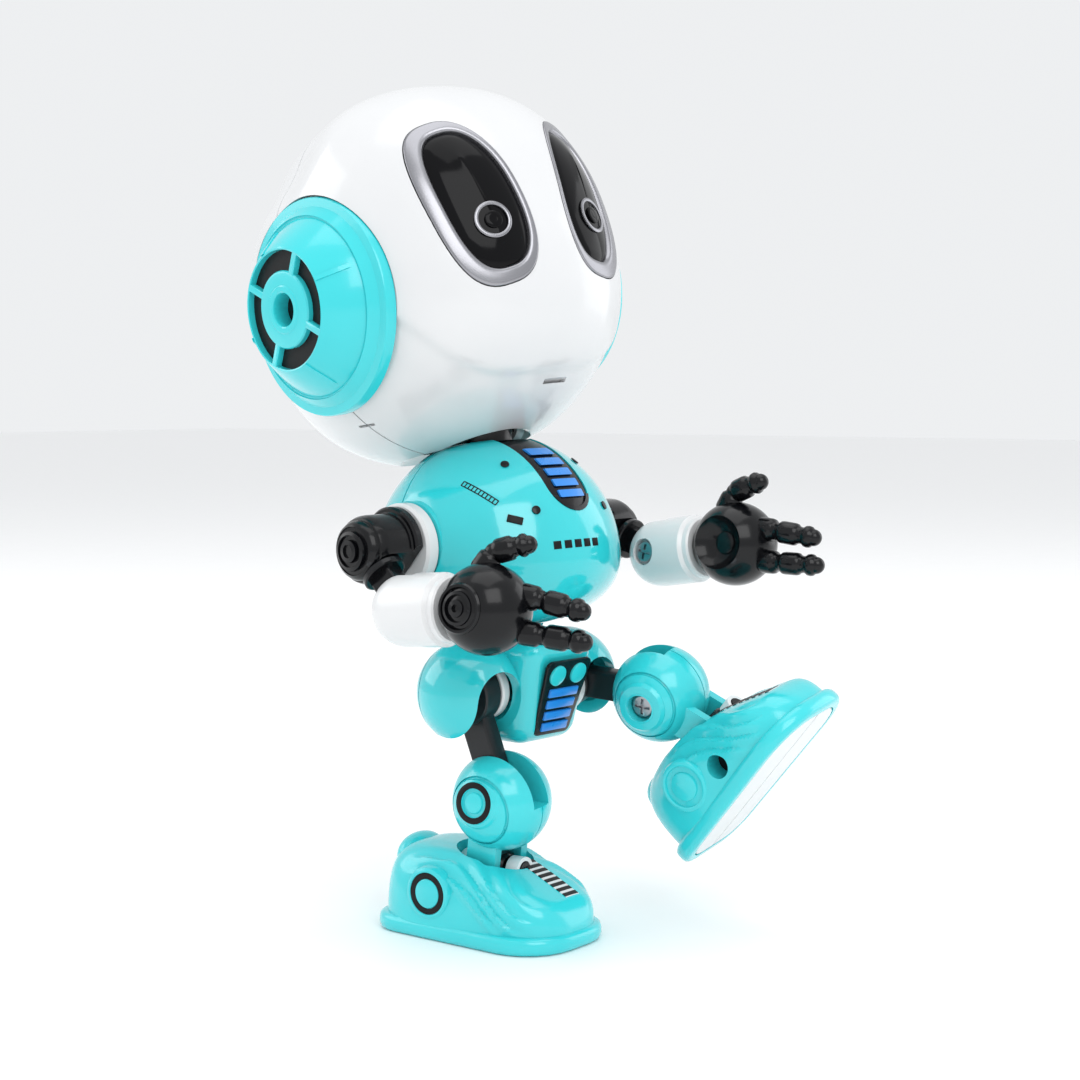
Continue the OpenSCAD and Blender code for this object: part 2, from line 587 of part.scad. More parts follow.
// Slanted eye opening on side s, a prism along Y
eye_x = 9.7;
eye_z = 1.6;
eye_slant = 8;
pupil = [9.2, -1.8];
bezel_w = 2;           // bezel band, and how far it is set outwards and down round the eye
bezel_set = [0.6, -0.4];
module eye_prism(s, grow, y0 = -40, y1 = -4, set = [0, 0]) translate([s * (eye_x + set[0]), 0, eye_z + set[1]]) rotate([90, 0, 0])
    rotate([0, 0, -s * eye_slant]) translate([0, 0, -y1]) linear_extrude(y1 - y0) hull() {
        translate([0, eye_half_h - eye_half_w + 0.6]) circle(eye_half_w + grow - 0.6, $fn = 32);
        translate([0, -eye_half_h + eye_half_w]) circle(eye_half_w + grow, $fn = 32);
    }
head_seam = 3;
ear_seat = head_half_x - 3.4;   // outer face of the seat for the ear disc's rim
ear_z = -3;
module head_half(front) color(WHITE) resize([0, 0, 0]) difference() {
    intersection() {
        egg(0);
        translate([-40, front ? -40 : head_seam - 40 + 40 + 0.04, -40]) cube([80, front ? 40 + head_seam : 40, 80]);
    }
    egg(-head_wall);
    for (s = [-1, 1]) {
        if (front) eye_prism(s, bezel_w + 0.2, set = bezel_set);
        translate([0, 0, ear_z]) {
            rod_x(ear_r - 1.4 + gap, min(s * 8, s * 40), max(s * 8, s * 40));
            rod_x(ear_r + gap, min(s * (ear_seat - 0.2), s * 40), max(s * (ear_seat - 0.2), s * 40));
        }
    }
    translate([0, 0, -head_half_z - 4]) cylinder(r = 11.4, h = 12, $fn = 60);
    if (!front) door_hole(0.2);
    on_switch() translate([-3.8, -6, -1.4]) cube([7.6, 9, 2.8]);
}
module head_front_shell() on_head() head_half(true);
module head_rear_shell() on_head() head_half(false);
module eye_bezel(s) color(STEEL) resize([0, 0, 0]) difference() {
    intersection() {
        egg(0.35);
        eye_prism(s, bezel_w, -40, -6, bezel_set);
    }
    egg(-1.5);
    eye_prism(s, 0);
}
module eye_lens(s) color(BLACK) resize([0, 0, 0]) difference() {
    intersection() {
        egg(-0.35);
        eye_prism(s, -0.15, -40, -6);
    }
    egg(-1.4);
}
module pupil_rings() on_head() color(STEEL) resize([0, 0, 0]) for (s = [-1, 1]) intersection() {
    difference() {
        egg(0.15);
        egg(-0.34);
    }
    translate([s * pupil[0], 0, pupil[1]]) rotate([90, 0, 0]) difference() {
        cylinder(r = 2.6, h = 40, $fn = 28);
        translate([0, 0, -1]) cylinder(r = 1.9, h = 42, $fn = 28);
    }
}
// Ear disc, revolved round X; x = 0 is its inner face
module ear_disc() color(TURQ) rotate([0, -90, 0]) rotate_extrude($fn = 72) difference() {
    union() {
        square([ear_r - 1.4, 1]);
        translate([0, 1]) square([ear_r, 1.6]);
        translate([0, 2.6]) polygon([[0, 0], [ear_r - 1.2, 0], [ear_r - 2.6, 1.4], [ear_r - 2.9, 1.4], [8.4, ear_out + 1.4], [0, ear_out + 1.4]]);
    }
    translate([5.3, ear_out + 3.1]) square([2.8, 2]);
    translate([0, ear_out + 2.2]) square([2.2, 3]);
    translate([-1, -1]) square([ear_r - 4, 3.4]);
}
module ear_insert() color(BLACK) rotate([0, -90, 0]) difference() {
    rotate_extrude($fn = 72) {
        translate([5.35, ear_out + 3.15]) square([2.7, 0.7]);
        translate([0, ear_out + 2.25]) square([2.15, 0.7]);
    }
    for (a = [45, 135]) rotate([0, 0, a]) translate([-12, -0.5, ear_out + 3]) cube([24, 1, 3]);
}
module on_ear(s) on_head() side(s > 0 ? 1 : 0) translate([-ear_seat + 1, 0, ear_z]) children();
board_z = -head_half_z + 21.3;
cell_y = 16.4;
cell_z = -5.8;
chassis_z = -head_half_z + 6.8;
// Frame inside the head that carries the neck lugs, the board and the cells
module head_chassis() on_head() color(WHITE) difference() {
    union() {
        translate([0, 0, chassis_z]) cylinder(r = 15, h = 1.6);
        translate([0, 0, -neck_to_head]) rotate([0, head_roll, 0]) for (s = [-1, 1])
            translate([s * (ball_r + gap + lug_t / 2 + 0.2), 0, 0]) {
                rod(2, lug_t, "x");
                translate([-lug_t / 2, -2, 0]) cube([lug_t, 4, neck_to_head + chassis_z + 1.2]);
            }
        for (x = [-8, 8], y = [-7, 4]) translate([x, y, chassis_z + 1]) cylinder(r = 1.6, h = board_z - chassis_z - 1.3);
        translate([-4, 9.4, chassis_z + 1]) cube([8, 4.4, cell_z - chassis_z - 1.3]);
    }
    translate([0, 0, chassis_z - 1]) cylinder(r = 5, h = 4);
    translate([0, 0, -neck_to_head]) rotate([0, head_roll, 0]) rod(pin_r + pin_gap, 20, "x");
}
module speaker() on_head() color(BLACK) translate([0, 0, chassis_z + 1.9]) difference() {
    union() {
        cylinder(r = 7, h = 1.6);
        translate([0, 0, 1.6]) cylinder(r = 4, h = 2.6);
    }
    translate([0, 0, -1]) cylinder(r = 1, h = 1.8);
}
module circuit_board() on_head() color("#2a6b42") translate([-11, -9.5, board_z]) cube([22, 15, 1.2]);
module button_cells() on_head() color(STEEL) for (i = [0:2]) translate([0, cell_y, cell_z + i * 5.8]) cylinder(r = 5.8, h = 5.4);
module door_outline(grow) translate([0, 0, 2]) rotate([-90, 0, 0]) linear_extrude(40) offset(1.2 + grow) square([13, 19], center = true);
module door_hole(grow) intersection() {
    door_outline(grow);
    translate([-20, 8, -30]) cube([40, 40, 60]);
}
module battery_door() on_head() color(WHITE) resize([0, 0, 0]) difference() {
    intersection() {
        egg(-0.1);
        door_hole(0);
    }
    egg(-1.5);
    translate([0, 10, -7.4]) rotate([-90, 0, 0]) cylinder(r = 0.8, h = 30, $fn = 32);
}
module door_screw() on_head() color(STEEL) translate([0, head_half_y - 2.5, -7.4]) rotate([-90, 0, 0]) {
    cylinder(r = 0.65, h = 2.4);
    translate([0, 0, 2]) cylinder(r = 1.4, h = 0.8);
}
// The switch sits low on the back, where the casing faces down; local +Y points out
module on_switch() translate([0, head_half_y - 6, -head_half_z + 8.6]) rotate([-40, 0, 0]) children();
module power_switch() on_head() on_switch() color(BLACK) {
    translate([-4.6, -3, -2]) cube([9.2, 0.8, 4]);
    translate([-1.8, -3, -1.1]) cube([3.6, 3.5, 2.2]);
}

// ---- pieces in their places ----------------------------------------------------------------
module foot_right_shell() foot_shell();
module foot_right_sole() foot_sole();
module ankle_right_cross() on_ankle_r() ankle_cross();
module shin_right_outer() on_shin_r() shin_half(-1, 1);
module shin_right_inner() on_shin_r() shin_half(1, 1);
module shin_right_screw() on_shin_r() shin_screw(1);
module thigh_right_link() on_thigh_r() thigh_link();
module hip_right_bush() on_bush_r() hip_bush(1);
module hip_left_bush() on_bush_l() hip_bush(-1);
module thigh_left_link() on_thigh_l() thigh_link();
module shin_left_outer() on_shin_l() shin_half(1, -1);
module shin_left_inner() on_shin_l() shin_half(-1, -1);
module shin_left_screw() on_shin_l() shin_screw(-1);
module ankle_left_cross() on_ankle_l() ankle_cross();
module foot_left_sole() on_foot_l() mirror([1, 0, 0]) foot_sole();
module foot_left_shell() on_foot_l() mirror([1, 0, 0]) foot_shell();
module collar_right() on_torso() side(0) translate([-shoulder_x, 0, shoulder_z]) collar();
module collar_left() on_torso() side(1) translate([-shoulder_x, 0, shoulder_z]) collar();
module shoulder_right() on_shoulder(0) shoulder();
module shoulder_left() on_shoulder(1) shoulder();
module upper_arm_right() on_upper_arm(0) upper_arm();
module upper_arm_left() on_upper_arm(1) upper_arm();
module forearm_right_outer() on_forearm(0) forearm_half(-1);
module forearm_left_outer() on_forearm(1) forearm_half(-1);
module forearm_right_inner() on_forearm(0) forearm_half(1);
module forearm_left_inner() on_forearm(1) forearm_half(1);
module elbow_right_screw() on_forearm(0) elbow_screw();
module elbow_left_screw() on_forearm(1) elbow_screw();
module hand_right() on_hand(0) hand(wrist_bend[0]);
module hand_left() on_hand(1) hand(wrist_bend[1]);
module ear_disc_right() on_ear(-1) ear_disc();
module ear_disc_left() on_ear(1) ear_disc();
module ear_insert_right() on_ear(-1) ear_insert();
module ear_insert_left() on_ear(1) ear_insert();
module eye_bezel_right() on_head() eye_bezel(-1);
module eye_bezel_left() on_head() eye_bezel(1);
module eye_lens_right() on_head() eye_lens(-1);
module eye_lens_left() on_head() eye_lens(1);

foot_right_shell();
foot_right_sole();
ankle_right_cross();
shin_right_outer();
shin_right_inner();
shin_right_screw();
thigh_right_link();
hip_right_bush();
pelvis_front_shell();
pelvis_rear_shell();
pelvis_panel();
pelvis_trim();
hip_left_bush();
thigh_left_link();
shin_left_outer();
shin_left_inner();
shin_left_screw();
ankle_left_cross();
foot_left_sole();
foot_left_shell();
waist_swivel();
torso_front_shell();
torso_rear_shell();
chest_panel();
chest_bars();
collar_right();
collar_left();
torso_screws();
neck_swivel();
shoulder_right();
upper_arm_right();
forearm_right_outer();
forearm_right_inner();
elbow_right_screw();
hand_right();
shoulder_left();
upper_arm_left();
forearm_left_outer();
forearm_left_inner();
elbow_left_screw();
hand_left();
head_chassis();
head_front_shell();
head_rear_shell();
eye_bezel_right();
eye_bezel_left();
eye_lens_right();
eye_lens_left();
pupil_rings();
ear_disc_right();
ear_disc_left();
ear_insert_right();
ear_insert_left();
speaker();
circuit_board();
button_cells();
battery_door();
door_screw();
power_switch();
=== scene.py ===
"""Looks of the poseable toy robot: moulded casings, painted castings, black joints and hands.
Lengths are millimetres while a piece is modelled; place() turns them into metres."""
import math

import bmesh
import bpy
from mathutils import Matrix, Vector


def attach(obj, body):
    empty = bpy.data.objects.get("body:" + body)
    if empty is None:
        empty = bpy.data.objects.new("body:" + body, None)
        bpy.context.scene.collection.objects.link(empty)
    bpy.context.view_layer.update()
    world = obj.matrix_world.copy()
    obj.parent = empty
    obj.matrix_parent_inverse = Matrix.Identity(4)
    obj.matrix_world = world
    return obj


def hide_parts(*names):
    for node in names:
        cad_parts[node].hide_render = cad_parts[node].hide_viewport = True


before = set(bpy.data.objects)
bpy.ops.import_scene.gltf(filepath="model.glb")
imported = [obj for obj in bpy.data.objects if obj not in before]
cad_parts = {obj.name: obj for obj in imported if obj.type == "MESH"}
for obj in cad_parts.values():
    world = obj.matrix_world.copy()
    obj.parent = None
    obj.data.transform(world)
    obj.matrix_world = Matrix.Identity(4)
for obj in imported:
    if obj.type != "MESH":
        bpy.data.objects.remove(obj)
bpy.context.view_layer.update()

X, Y, Z = Vector((1, 0, 0)), Vector((0, 1, 0)), Vector((0, 0, 1))
FLIP = Matrix.Scale(-1, 4, X)
SIDES = {"right": 0, "left": 1}

# ---- sizes, the same as the part's source ---------------------------------------------------------
HEAD = (24, 26, 26.2)
HEAD_POWER = 2.35
EAR_R = 15
TORSO_R, TORSO_CZ, TORSO_H = 17.5, 9, 27.5
SHOULDER_X, SHOULDER_Z, ELBOW_X = 17.2, 11.6, 6.8
HIP_HALF, HIP_R, WAIST_H, WAIST_BACK = 10, 7.3, 8.9, 2.6
UPPER_ARM, FOREARM_R, FOREARM, PALM_R, FINGER = 11, 4.9, 8, 6, 3.3
THIGH, KNEE_R, SHIN, LINK_T = 15.6, 6.9, 10, 2.8
ANKLE_Z, ANKLE_FWD, SOLE_L, SOLE_W, RIM_T = 9.4, 1, 31.5, 19.6, 2.4
GAP = 0.25
HEAD_SINK, HEAD_LEAN = 3.1, -4
EAR_Z, EAR_SINK = -3, 4.4
HEAD_WALL, TORSO_WALL, HIPS_WALL = 1.6, 1.3, 1.3
HEAD_SEAM, TORSO_SEAM, HIPS_SEAM = 3.03, 2.22, 3.43


# ---- frames of the joints, from the standing foot upwards ------------------------------------
def move(x=0, y=0, z=0):
    return Matrix.Translation((x, y, z))


def turn(degrees, axis):
    return Matrix.Rotation(math.radians(degrees), 4, axis)


OBLIQUE = Vector((0, -1, 1))
FOOT_R = Matrix()
ANKLE_R = move(0, -ANKLE_FWD, ANKLE_Z) @ turn(-7, Y)
SHIN_R = ANKLE_R @ turn(12, X) @ move(0, 0, SHIN)
THIGH_R = SHIN_R @ turn(-28, X) @ move(0, 0, THIGH)
BUSH_R = THIGH_R @ turn(16, X)
PELVIS = BUSH_R @ turn(-9, OBLIQUE) @ move(HIP_HALF)
BUSH_L = PELVIS @ move(HIP_HALF) @ turn(16, OBLIQUE)
THIGH_L = BUSH_L @ turn(-84, X)
SHIN_L = THIGH_L @ move(0, 0, -THIGH) @ turn(23, X)
ANKLE_L = SHIN_L @ move(0, 0, -SHIN) @ turn(12, X)
FOOT_L = ANKLE_L @ turn(5, Y) @ move(0, ANKLE_FWD, -ANKLE_Z)
WAIST = PELVIS @ move(0, WAIST_BACK, WAIST_H) @ turn(-2, Z)
TORSO = WAIST @ turn(-9, X)
NECK = TORSO @ move(0, 0, TORSO_H) @ turn(-4, Z)


def head_on_neck(tilt):
    """The head's frame in the neck's, its underside sunk over the neck's ball."""
    return turn(tilt, X) @ turn(HEAD_LEAN, Y) @ move(0, 0, HEAD[2] - HEAD_SINK)


HEAD_AT = NECK @ head_on_neck(-13)


def arm_frames(swing, inward, bend, mirrored):
    """Shoulder, upper arm, forearm and hand frames of one arm, drawn as the right one."""
    shoulder = TORSO @ (FLIP if mirrored else Matrix()) @ move(-SHOULDER_X, 0, SHOULDER_Z) @ turn(-swing, X)
    upper = shoulder @ move(-ELBOW_X) @ turn(inward, Z)
    forearm = upper @ move(0, 0, -UPPER_ARM) @ turn(-bend, X)
    return shoulder, upper, forearm, forearm @ move(0, 0, -FOREARM)


ARMS = {"right": arm_frames(38, 8, 48, False), "left": arm_frames(66, -6, 24, True)}
WRIST_BEND = {"right": 24, "left": 0}


# ---- mesh tools --------------------------------------------------------------------------------
def smooth_step(t):
    t = min(max(t, 0), 1)
    return t * t * (3 - 2 * t)


def soften(bm, width, angle=30, segments=2):
    """Rounds every edge sharper than the angle."""
    edges = [e for e in bm.edges if len(e.link_faces) == 2 and e.calc_face_angle(0) > math.radians(angle)]
    bmesh.ops.bevel(bm, geom=edges, offset=width, offset_type="OFFSET", segments=segments, profile=0.5,
                    affect="EDGES", clamp_overlap=True, material=-1)
    return bm


def lathe(profile, steps=64, axis="z"):
    """Spins a profile of (radius, height) pairs round Z, then lays it along the axis asked for."""
    bm = bmesh.new()
    points = [bm.verts.new((r, 0, h)) for r, h in profile]
    edges = [bm.edges.new(pair) for pair in zip(points, points[1:])]
    bmesh.ops.spin(bm, geom=points + edges, axis=Z, cent=(0, 0, 0), angle=2 * math.pi, steps=steps,
                   use_merge=True)
    bmesh.ops.remove_doubles(bm, verts=bm.verts, dist=1e-4)
    bmesh.ops.recalc_face_normals(bm, faces=bm.faces)
    lay = {"z": Matrix(), "x": turn(90, Y), "y": turn(-90, X)}[axis]
    bmesh.ops.transform(bm, matrix=lay, verts=bm.verts)
    return bm


def rod(r, low, high, axis="z", steps=48, edge=0.0):
    bm = lathe([(0, low), (r, low), (r, high), (0, high)], steps, axis)
    return soften(bm, edge) if edge else bm


def block(low, high, edge=0.0):
    """Box between two corners with rounded edges."""
    low, high = Vector(low), Vector(high)
    bm = bmesh.new()
    bmesh.ops.create_cube(bm, size=1)
    bmesh.ops.scale(bm, vec=high - low, verts=bm.verts)
    bmesh.ops.translate(bm, vec=(low + high) / 2, verts=bm.verts)
    if edge:
        bmesh.ops.bevel(bm, geom=bm.edges[:], offset=edge, offset_type="OFFSET", segments=2, profile=0.5,
                        affect="EDGES", clamp_overlap=True, material=-1)
    return bm


def ball(r, u=64, v=40, centre=(0, 0, 0)):
    bm = bmesh.new()
    bmesh.ops.create_uvsphere(bm, u_segments=u, v_segments=v, radius=r)
    bmesh.ops.translate(bm, vec=centre, verts=bm.verts)
    return bm


def prism(outline, low, high, axis="z"):
    """Closed outline of (x, y) pairs, filled and extruded from low to high."""
    bm = bmesh.new()
    face = bm.faces.new([bm.verts.new((x, y, low)) for x, y in outline])
    grown = bmesh.ops.extrude_face_region(bm, geom=[face])
    bmesh.ops.translate(bm, vec=(0, 0, high - low), verts=[v for v in grown["geom"]
        if isinstance(v, bmesh.types.BMVert)])
    bmesh.ops.recalc_face_normals(bm, faces=bm.faces)
    lay = {"z": Matrix(), "x": Matrix(((0, 0, 1, 0), (1, 0, 0, 0), (0, 1, 0, 0), (0, 0, 0, 1))),
           "y": turn(90, X)}[axis]
    bmesh.ops.transform(bm, matrix=lay, verts=bm.verts)
    return bm


def round_corners(points):
    """Outline of arcs, each (x, y, radius, first angle), a quarter turn each."""
    out = []
    for x, y, r, first in points:
        out += [(x + r * math.cos(math.radians(first + a)), y + r * math.sin(math.radians(first + a)))
                for a in range(0, 91, 15)]
    return out


def wedge(r, start, end, half):
    """Sector of a disc in the YZ plane, angles from +Y towards +Z."""
    steps = [start + (end - start) * i / 12 for i in range(13)]
    arc = [(r * math.cos(math.radians(a)), r * math.sin(math.radians(a))) for a in steps]
    return prism([(0, 0)] + arc, -half, half, "x")


def close_holes(bm):
    bmesh.ops.holes_fill(bm, edges=[e for e in bm.edges if e.is_boundary], sides=0)


def put(bm, matrix):
    bmesh.ops.transform(bm, matrix=matrix, verts=bm.verts)
    if matrix.determinant() < 0:
        bmesh.ops.reverse_faces(bm, faces=bm.faces)
    return bm


def on_side(bm, side):
    """The form as drawn for +X, or its mirror image for -X."""
    return put(bm, FLIP) if side < 0 else bm


def together(*parts):
    """Several meshes in one, each left as it is."""
    whole = bmesh.new()
    for part in parts:
        mesh = bpy.data.meshes.new("joining")
        part.to_mesh(mesh)
        part.free()
        whole.from_mesh(mesh)
        bpy.data.meshes.remove(mesh)
    return whole


def combine(body, tool, how):
    """Boolean of two closed meshes, baked at once."""
    objects = []
    for bm in (body, tool):
        mesh = bpy.data.meshes.new("cutting")
        bm.to_mesh(mesh)
        bm.free()
        objects.append(bpy.data.objects.new("cutting", mesh))
        bpy.context.scene.collection.objects.link(objects[-1])
    result = bmesh.new()
    for solver in ("MANIFOLD", "EXACT"):
        cutter = objects[0].modifiers.new("cut", "BOOLEAN")
        cutter.operation, cutter.solver, cutter.object = how, solver, objects[1]
        shape = objects[0].evaluated_get(bpy.context.evaluated_depsgraph_get())
        result.from_mesh(shape.to_mesh())
        shape.to_mesh_clear()
        objects[0].modifiers.remove(cutter)
        if result.faces:
            break
    for o in objects:
        mesh = o.data
        bpy.data.objects.remove(o)
        bpy.data.meshes.remove(mesh)
    bmesh.ops.remove_doubles(result, verts=result.verts, dist=1e-4)
    bmesh.ops.dissolve_degenerate(result, edges=result.edges, dist=1e-5)
    return result


def cut(body, *tools):
    for tool in tools:
        body = combine(body, tool, "DIFFERENCE")
    return body


def join(body, *others):
    for other in others:
        body = combine(body, other, "UNION")
    return body


def keep(body, tool):
    return combine(body, tool, "INTERSECT")


def halves(shell, seam, slit=0.01):
    """Front and rear of a casing, split at a place along Y."""
    front = keep(shell.copy(), block((-60, -60, -60), (60, seam - slit, 60)))
    return front, keep(shell, block((-60, seam + slit, -60), (60, 60, 60)))


def seam_groove(seam, core, half=0.13):
    """Fine groove round a casing at its seam, as deep as the core leaves it."""
    return cut(block((-60, seam - half, -60), (60, seam + half, 60)), core)


def place(name, bm, where, body, material, nodes=(), shade=32):
    """Bakes a finished form at its place in the robot, gives it its body and finish, and hides the CAD nodes
    it stands for.
    """
    close_holes(bm)
    put(bm, Matrix.Scale(0.001, 4) @ where)
    for f in bm.faces:
        f.smooth = True
    for e in bm.edges:
        e.smooth = len(e.link_faces) == 2 and e.calc_face_angle(0) < math.radians(shade)
    mesh = bpy.data.meshes.new(name)
    bm.to_mesh(mesh)
    bm.free()
    mesh.materials.append(material)
    piece = bpy.data.objects.new(name, mesh)
    bpy.context.scene.collection.objects.link(piece)
    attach(piece, body)
    if nodes:
        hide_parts(*([nodes] if isinstance(nodes, str) else nodes))
    return piece


# ---- finishes ------------------------------------------------------------------------------------
def group(name, inputs, outputs):
    """Empty node group with float, colour or vector sockets; returns it with its input and output nodes."""
    tree = bpy.data.node_groups.new(name, "ShaderNodeTree")
    kinds = {"f": "NodeSocketFloat", "c": "NodeSocketColor", "v": "NodeSocketVector"}
    for label, kind, value in inputs:
        socket = tree.interface.new_socket(name=label, in_out="INPUT", socket_type=kinds[kind])
        if value is not None:
            socket.default_value = value
    for label, kind in outputs:
        tree.interface.new_socket(name=label, in_out="OUTPUT", socket_type=kinds[kind])
    return tree, tree.nodes.new("NodeGroupInput"), tree.nodes.new("NodeGroupOutput")


def node(tree, kind, links=(), **values):
    """Adds a node, sets its properties or input values by name, and links its inputs."""
    made = tree.nodes.new(kind)
    for key, value in values.items():
        if hasattr(made, key):
            setattr(made, key, value)
        else:
            made.inputs[key.replace("_", " ")].default_value = value
    for label, source in links:
        tree.links.new(source, made.inputs[label])
    return made


def moulded_skin():
    """Fine orange peel of a moulding, and roughness that drifts where it was polished or handled."""
    tree, come, go = group("moulded_skin", [("Grain size", "f", 0.0004), ("Grain depth", "f", 0.1),
        ("Roughness", "f", 0.2), ("Drift", "f", 0.06)], [("Normal", "v"), ("Roughness", "f")])
    place_in = node(tree, "ShaderNodeTexCoord")
    per_metre = node(tree, "ShaderNodeMath", [(1, come.outputs["Grain size"])], operation="DIVIDE")
    per_metre.inputs[0].default_value = 1
    peel = node(tree, "ShaderNodeTexNoise", [("Vector", place_in.outputs["Object"]),
        ("Scale", per_metre.outputs[0])], Detail=3.0)
    bump = node(tree, "ShaderNodeBump", [("Strength", come.outputs["Grain depth"]),
        ("Height", peel.outputs["Fac"])], Distance=0.00006)
    clouds = node(tree, "ShaderNodeTexNoise", [("Vector", place_in.outputs["Object"])], Scale=160.0,
                  Detail=4.0, Roughness=0.6)
    spread = node(tree, "ShaderNodeMath", [(0, clouds.outputs["Fac"])], operation="SUBTRACT")
    spread.inputs[1].default_value = 0.5
    change = node(tree, "ShaderNodeMath", [(0, spread.outputs[0]), (1, come.outputs["Drift"]),
        (2, come.outputs["Roughness"])], operation="MULTIPLY_ADD")
    tree.links.new(bump.outputs["Normal"], go.inputs["Normal"])
    tree.links.new(change.outputs[0], go.inputs["Roughness"])
    return tree


def colour_drift():
    """Slow change between two near tones, as in a coloured plastic or a sprayed coat."""
    tree, come, go = group("colour_drift", [("Deep", "c", None), ("Light", "c", None),
        ("Scale", "f", 90.0)], [("Colour", "c")])
    place_in = node(tree, "ShaderNodeTexCoord")
    clouds = node(tree, "ShaderNodeTexNoise", [("Vector", place_in.outputs["Object"]),
        ("Scale", come.outputs["Scale"])], Detail=3.0)
    blend = node(tree, "ShaderNodeMix", data_type="RGBA")
    tree.links.new(clouds.outputs["Fac"], blend.inputs["Factor"])
    tree.links.new(come.outputs["Deep"], blend.inputs[6])
    tree.links.new(come.outputs["Light"], blend.inputs[7])
    tree.links.new(blend.outputs[2], go.inputs["Colour"])
    return tree


def painted_edge_highlight():
    """Mask that is 1 on sharp ridges, where a painted highlight is laid, and 0 in hollows and flats."""
    tree, come, go = group("painted_edge_highlight", [("Reach", "f", 0.06)], [("Mask", "f")])
    shape = node(tree, "ShaderNodeNewGeometry")
    high = node(tree, "ShaderNodeMath", [(1, come.outputs["Reach"])], operation="ADD")
    high.inputs[0].default_value = 0.56
    ramp = node(tree, "ShaderNodeMapRange", [("Value", shape.outputs["Pointiness"]),
        ("From Max", high.outputs[0])])
    ramp.inputs["From Min"].default_value = 0.56
    tree.links.new(ramp.outputs["Result"], go.inputs["Mask"])
    return tree


SKIN, TINT, EDGES = moulded_skin(), colour_drift(), painted_edge_highlight()


def finish(name, deep, light, roughness, coat=0.0, metal=0.0, grain=(0.0005, 0.1), drift=0.06, edge=None,
           specular=0.5):
    """Material of drifting colour, moulded skin and, where given, a lighter tone painted on ridges as a
    highlight.
    """
    material = bpy.data.materials.new(name)
    material.use_nodes = True
    tree = material.node_tree
    shader = tree.nodes["Principled BSDF"]
    shader.inputs["Metallic"].default_value = metal
    shader.inputs["Coat Weight"].default_value = coat
    shader.inputs["Coat Roughness"].default_value = 0.04
    shader.inputs["Specular IOR Level"].default_value = specular
    skin = node(tree, "ShaderNodeGroup", node_tree=SKIN)
    skin.inputs["Grain size"].default_value, skin.inputs["Grain depth"].default_value = grain
    skin.inputs["Roughness"].default_value = roughness
    skin.inputs["Drift"].default_value = drift
    tint = node(tree, "ShaderNodeGroup", node_tree=TINT)
    tint.inputs["Deep"].default_value = (*deep, 1)
    tint.inputs["Light"].default_value = (*light, 1)
    colour = tint.outputs["Colour"]
    # edge is a lighter colour painted on sharp ridges: a painted highlight.
    if edge:
        highlight_mask = node(tree, "ShaderNodeGroup", node_tree=EDGES)
        mix = node(tree, "ShaderNodeMix", data_type="RGBA")
        tree.links.new(highlight_mask.outputs["Mask"], mix.inputs["Factor"])
        tree.links.new(colour, mix.inputs[6])
        mix.inputs[7].default_value = (*edge, 1)
        colour = mix.outputs[2]
    tree.links.new(colour, shader.inputs["Base Color"])
    tree.links.new(skin.outputs["Roughness"], shader.inputs["Roughness"])
    tree.links.new(skin.outputs["Normal"], shader.inputs["Normal"])
    return material


HEAD_WHITE = finish("head_white", (0.66, 0.665, 0.675), (0.71, 0.715, 0.72), 0.2, coat=0.3)
TURQUOISE_PAINT = finish("turquoise_paint", (0.020, 0.53, 0.58), (0.030, 0.60, 0.64), 0.15, coat=0.6,
                         grain=(0.0009, 0.14))
TURQUOISE_PLASTIC = finish("turquoise_plastic", (0.028, 0.57, 0.62), (0.042, 0.64, 0.68), 0.2, coat=0.3)
WHITE_PLASTIC = finish("white_plastic", (0.69, 0.695, 0.70), (0.74, 0.745, 0.75), 0.26, coat=0.2)
# The lighter edge tones of the black finishes are painted highlights on their ridges.
BLACK_PLASTIC = finish("black_plastic", (0.002, 0.0022, 0.003), (0.004, 0.0043, 0.0055), 0.2, coat=0.12,
                       grain=(0.0004, 0.12), edge=(0.02, 0.022, 0.025), specular=0.24)
BLACK_METAL = finish("black_metal", (0.005, 0.0055, 0.007), (0.010, 0.011, 0.013), 0.3, coat=0.1,
                     edge=(0.05, 0.05, 0.055), specular=0.3)
SILVER = finish("silver_trim", (0.27, 0.27, 0.29), (0.36, 0.36, 0.385), 0.26, metal=0.9, grain=(0.0003, 0.06))
LENS = finish("lens_black", (0.003, 0.003, 0.0035), (0.003, 0.003, 0.004), 0.1, coat=0.0, drift=0.02,
              grain=(0.002, 0.02), specular=0.13)
PANEL_BLUE = finish("panel_blue", (0.01, 0.19, 0.66), (0.02, 0.27, 0.78), 0.28, coat=0.3)
# The steel's light edge tone is a painted highlight on the rims of the screw heads.
STEEL = finish("screw_steel", (0.30, 0.31, 0.33), (0.42, 0.43, 0.45), 0.3, metal=1.0, grain=(0.0003, 0.3),
               edge=(0.7, 0.7, 0.72))
SOLE_PAD = finish("sole_pad", (0.72, 0.75, 0.76), (0.80, 0.82, 0.83), 0.42, grain=(0.0004, 0.35))
BOARD_GREEN = finish("board_green", (0.02, 0.14, 0.06), (0.03, 0.18, 0.08), 0.4)
PRINT_BLACK = finish("print_black", (0.005, 0.0055, 0.006), (0.007, 0.0072, 0.008), 0.42, specular=0.2)


# ---- head ----------------------------------------------------------------------------------------
def onto_head(v, grow=0.0):
    """Point of the head's rounded-box egg in the direction of v."""
    d = v.normalized()
    sizes = [s + grow for s in HEAD]
    return d * sum(abs(c / s) ** HEAD_POWER for c, s in zip(d, sizes)) ** (-1 / HEAD_POWER)


def crease_height(x):
    """Height of the jaw's soft crease across the face."""
    return -20.6 + 9.9 * (abs(x) / 20) ** 3.4


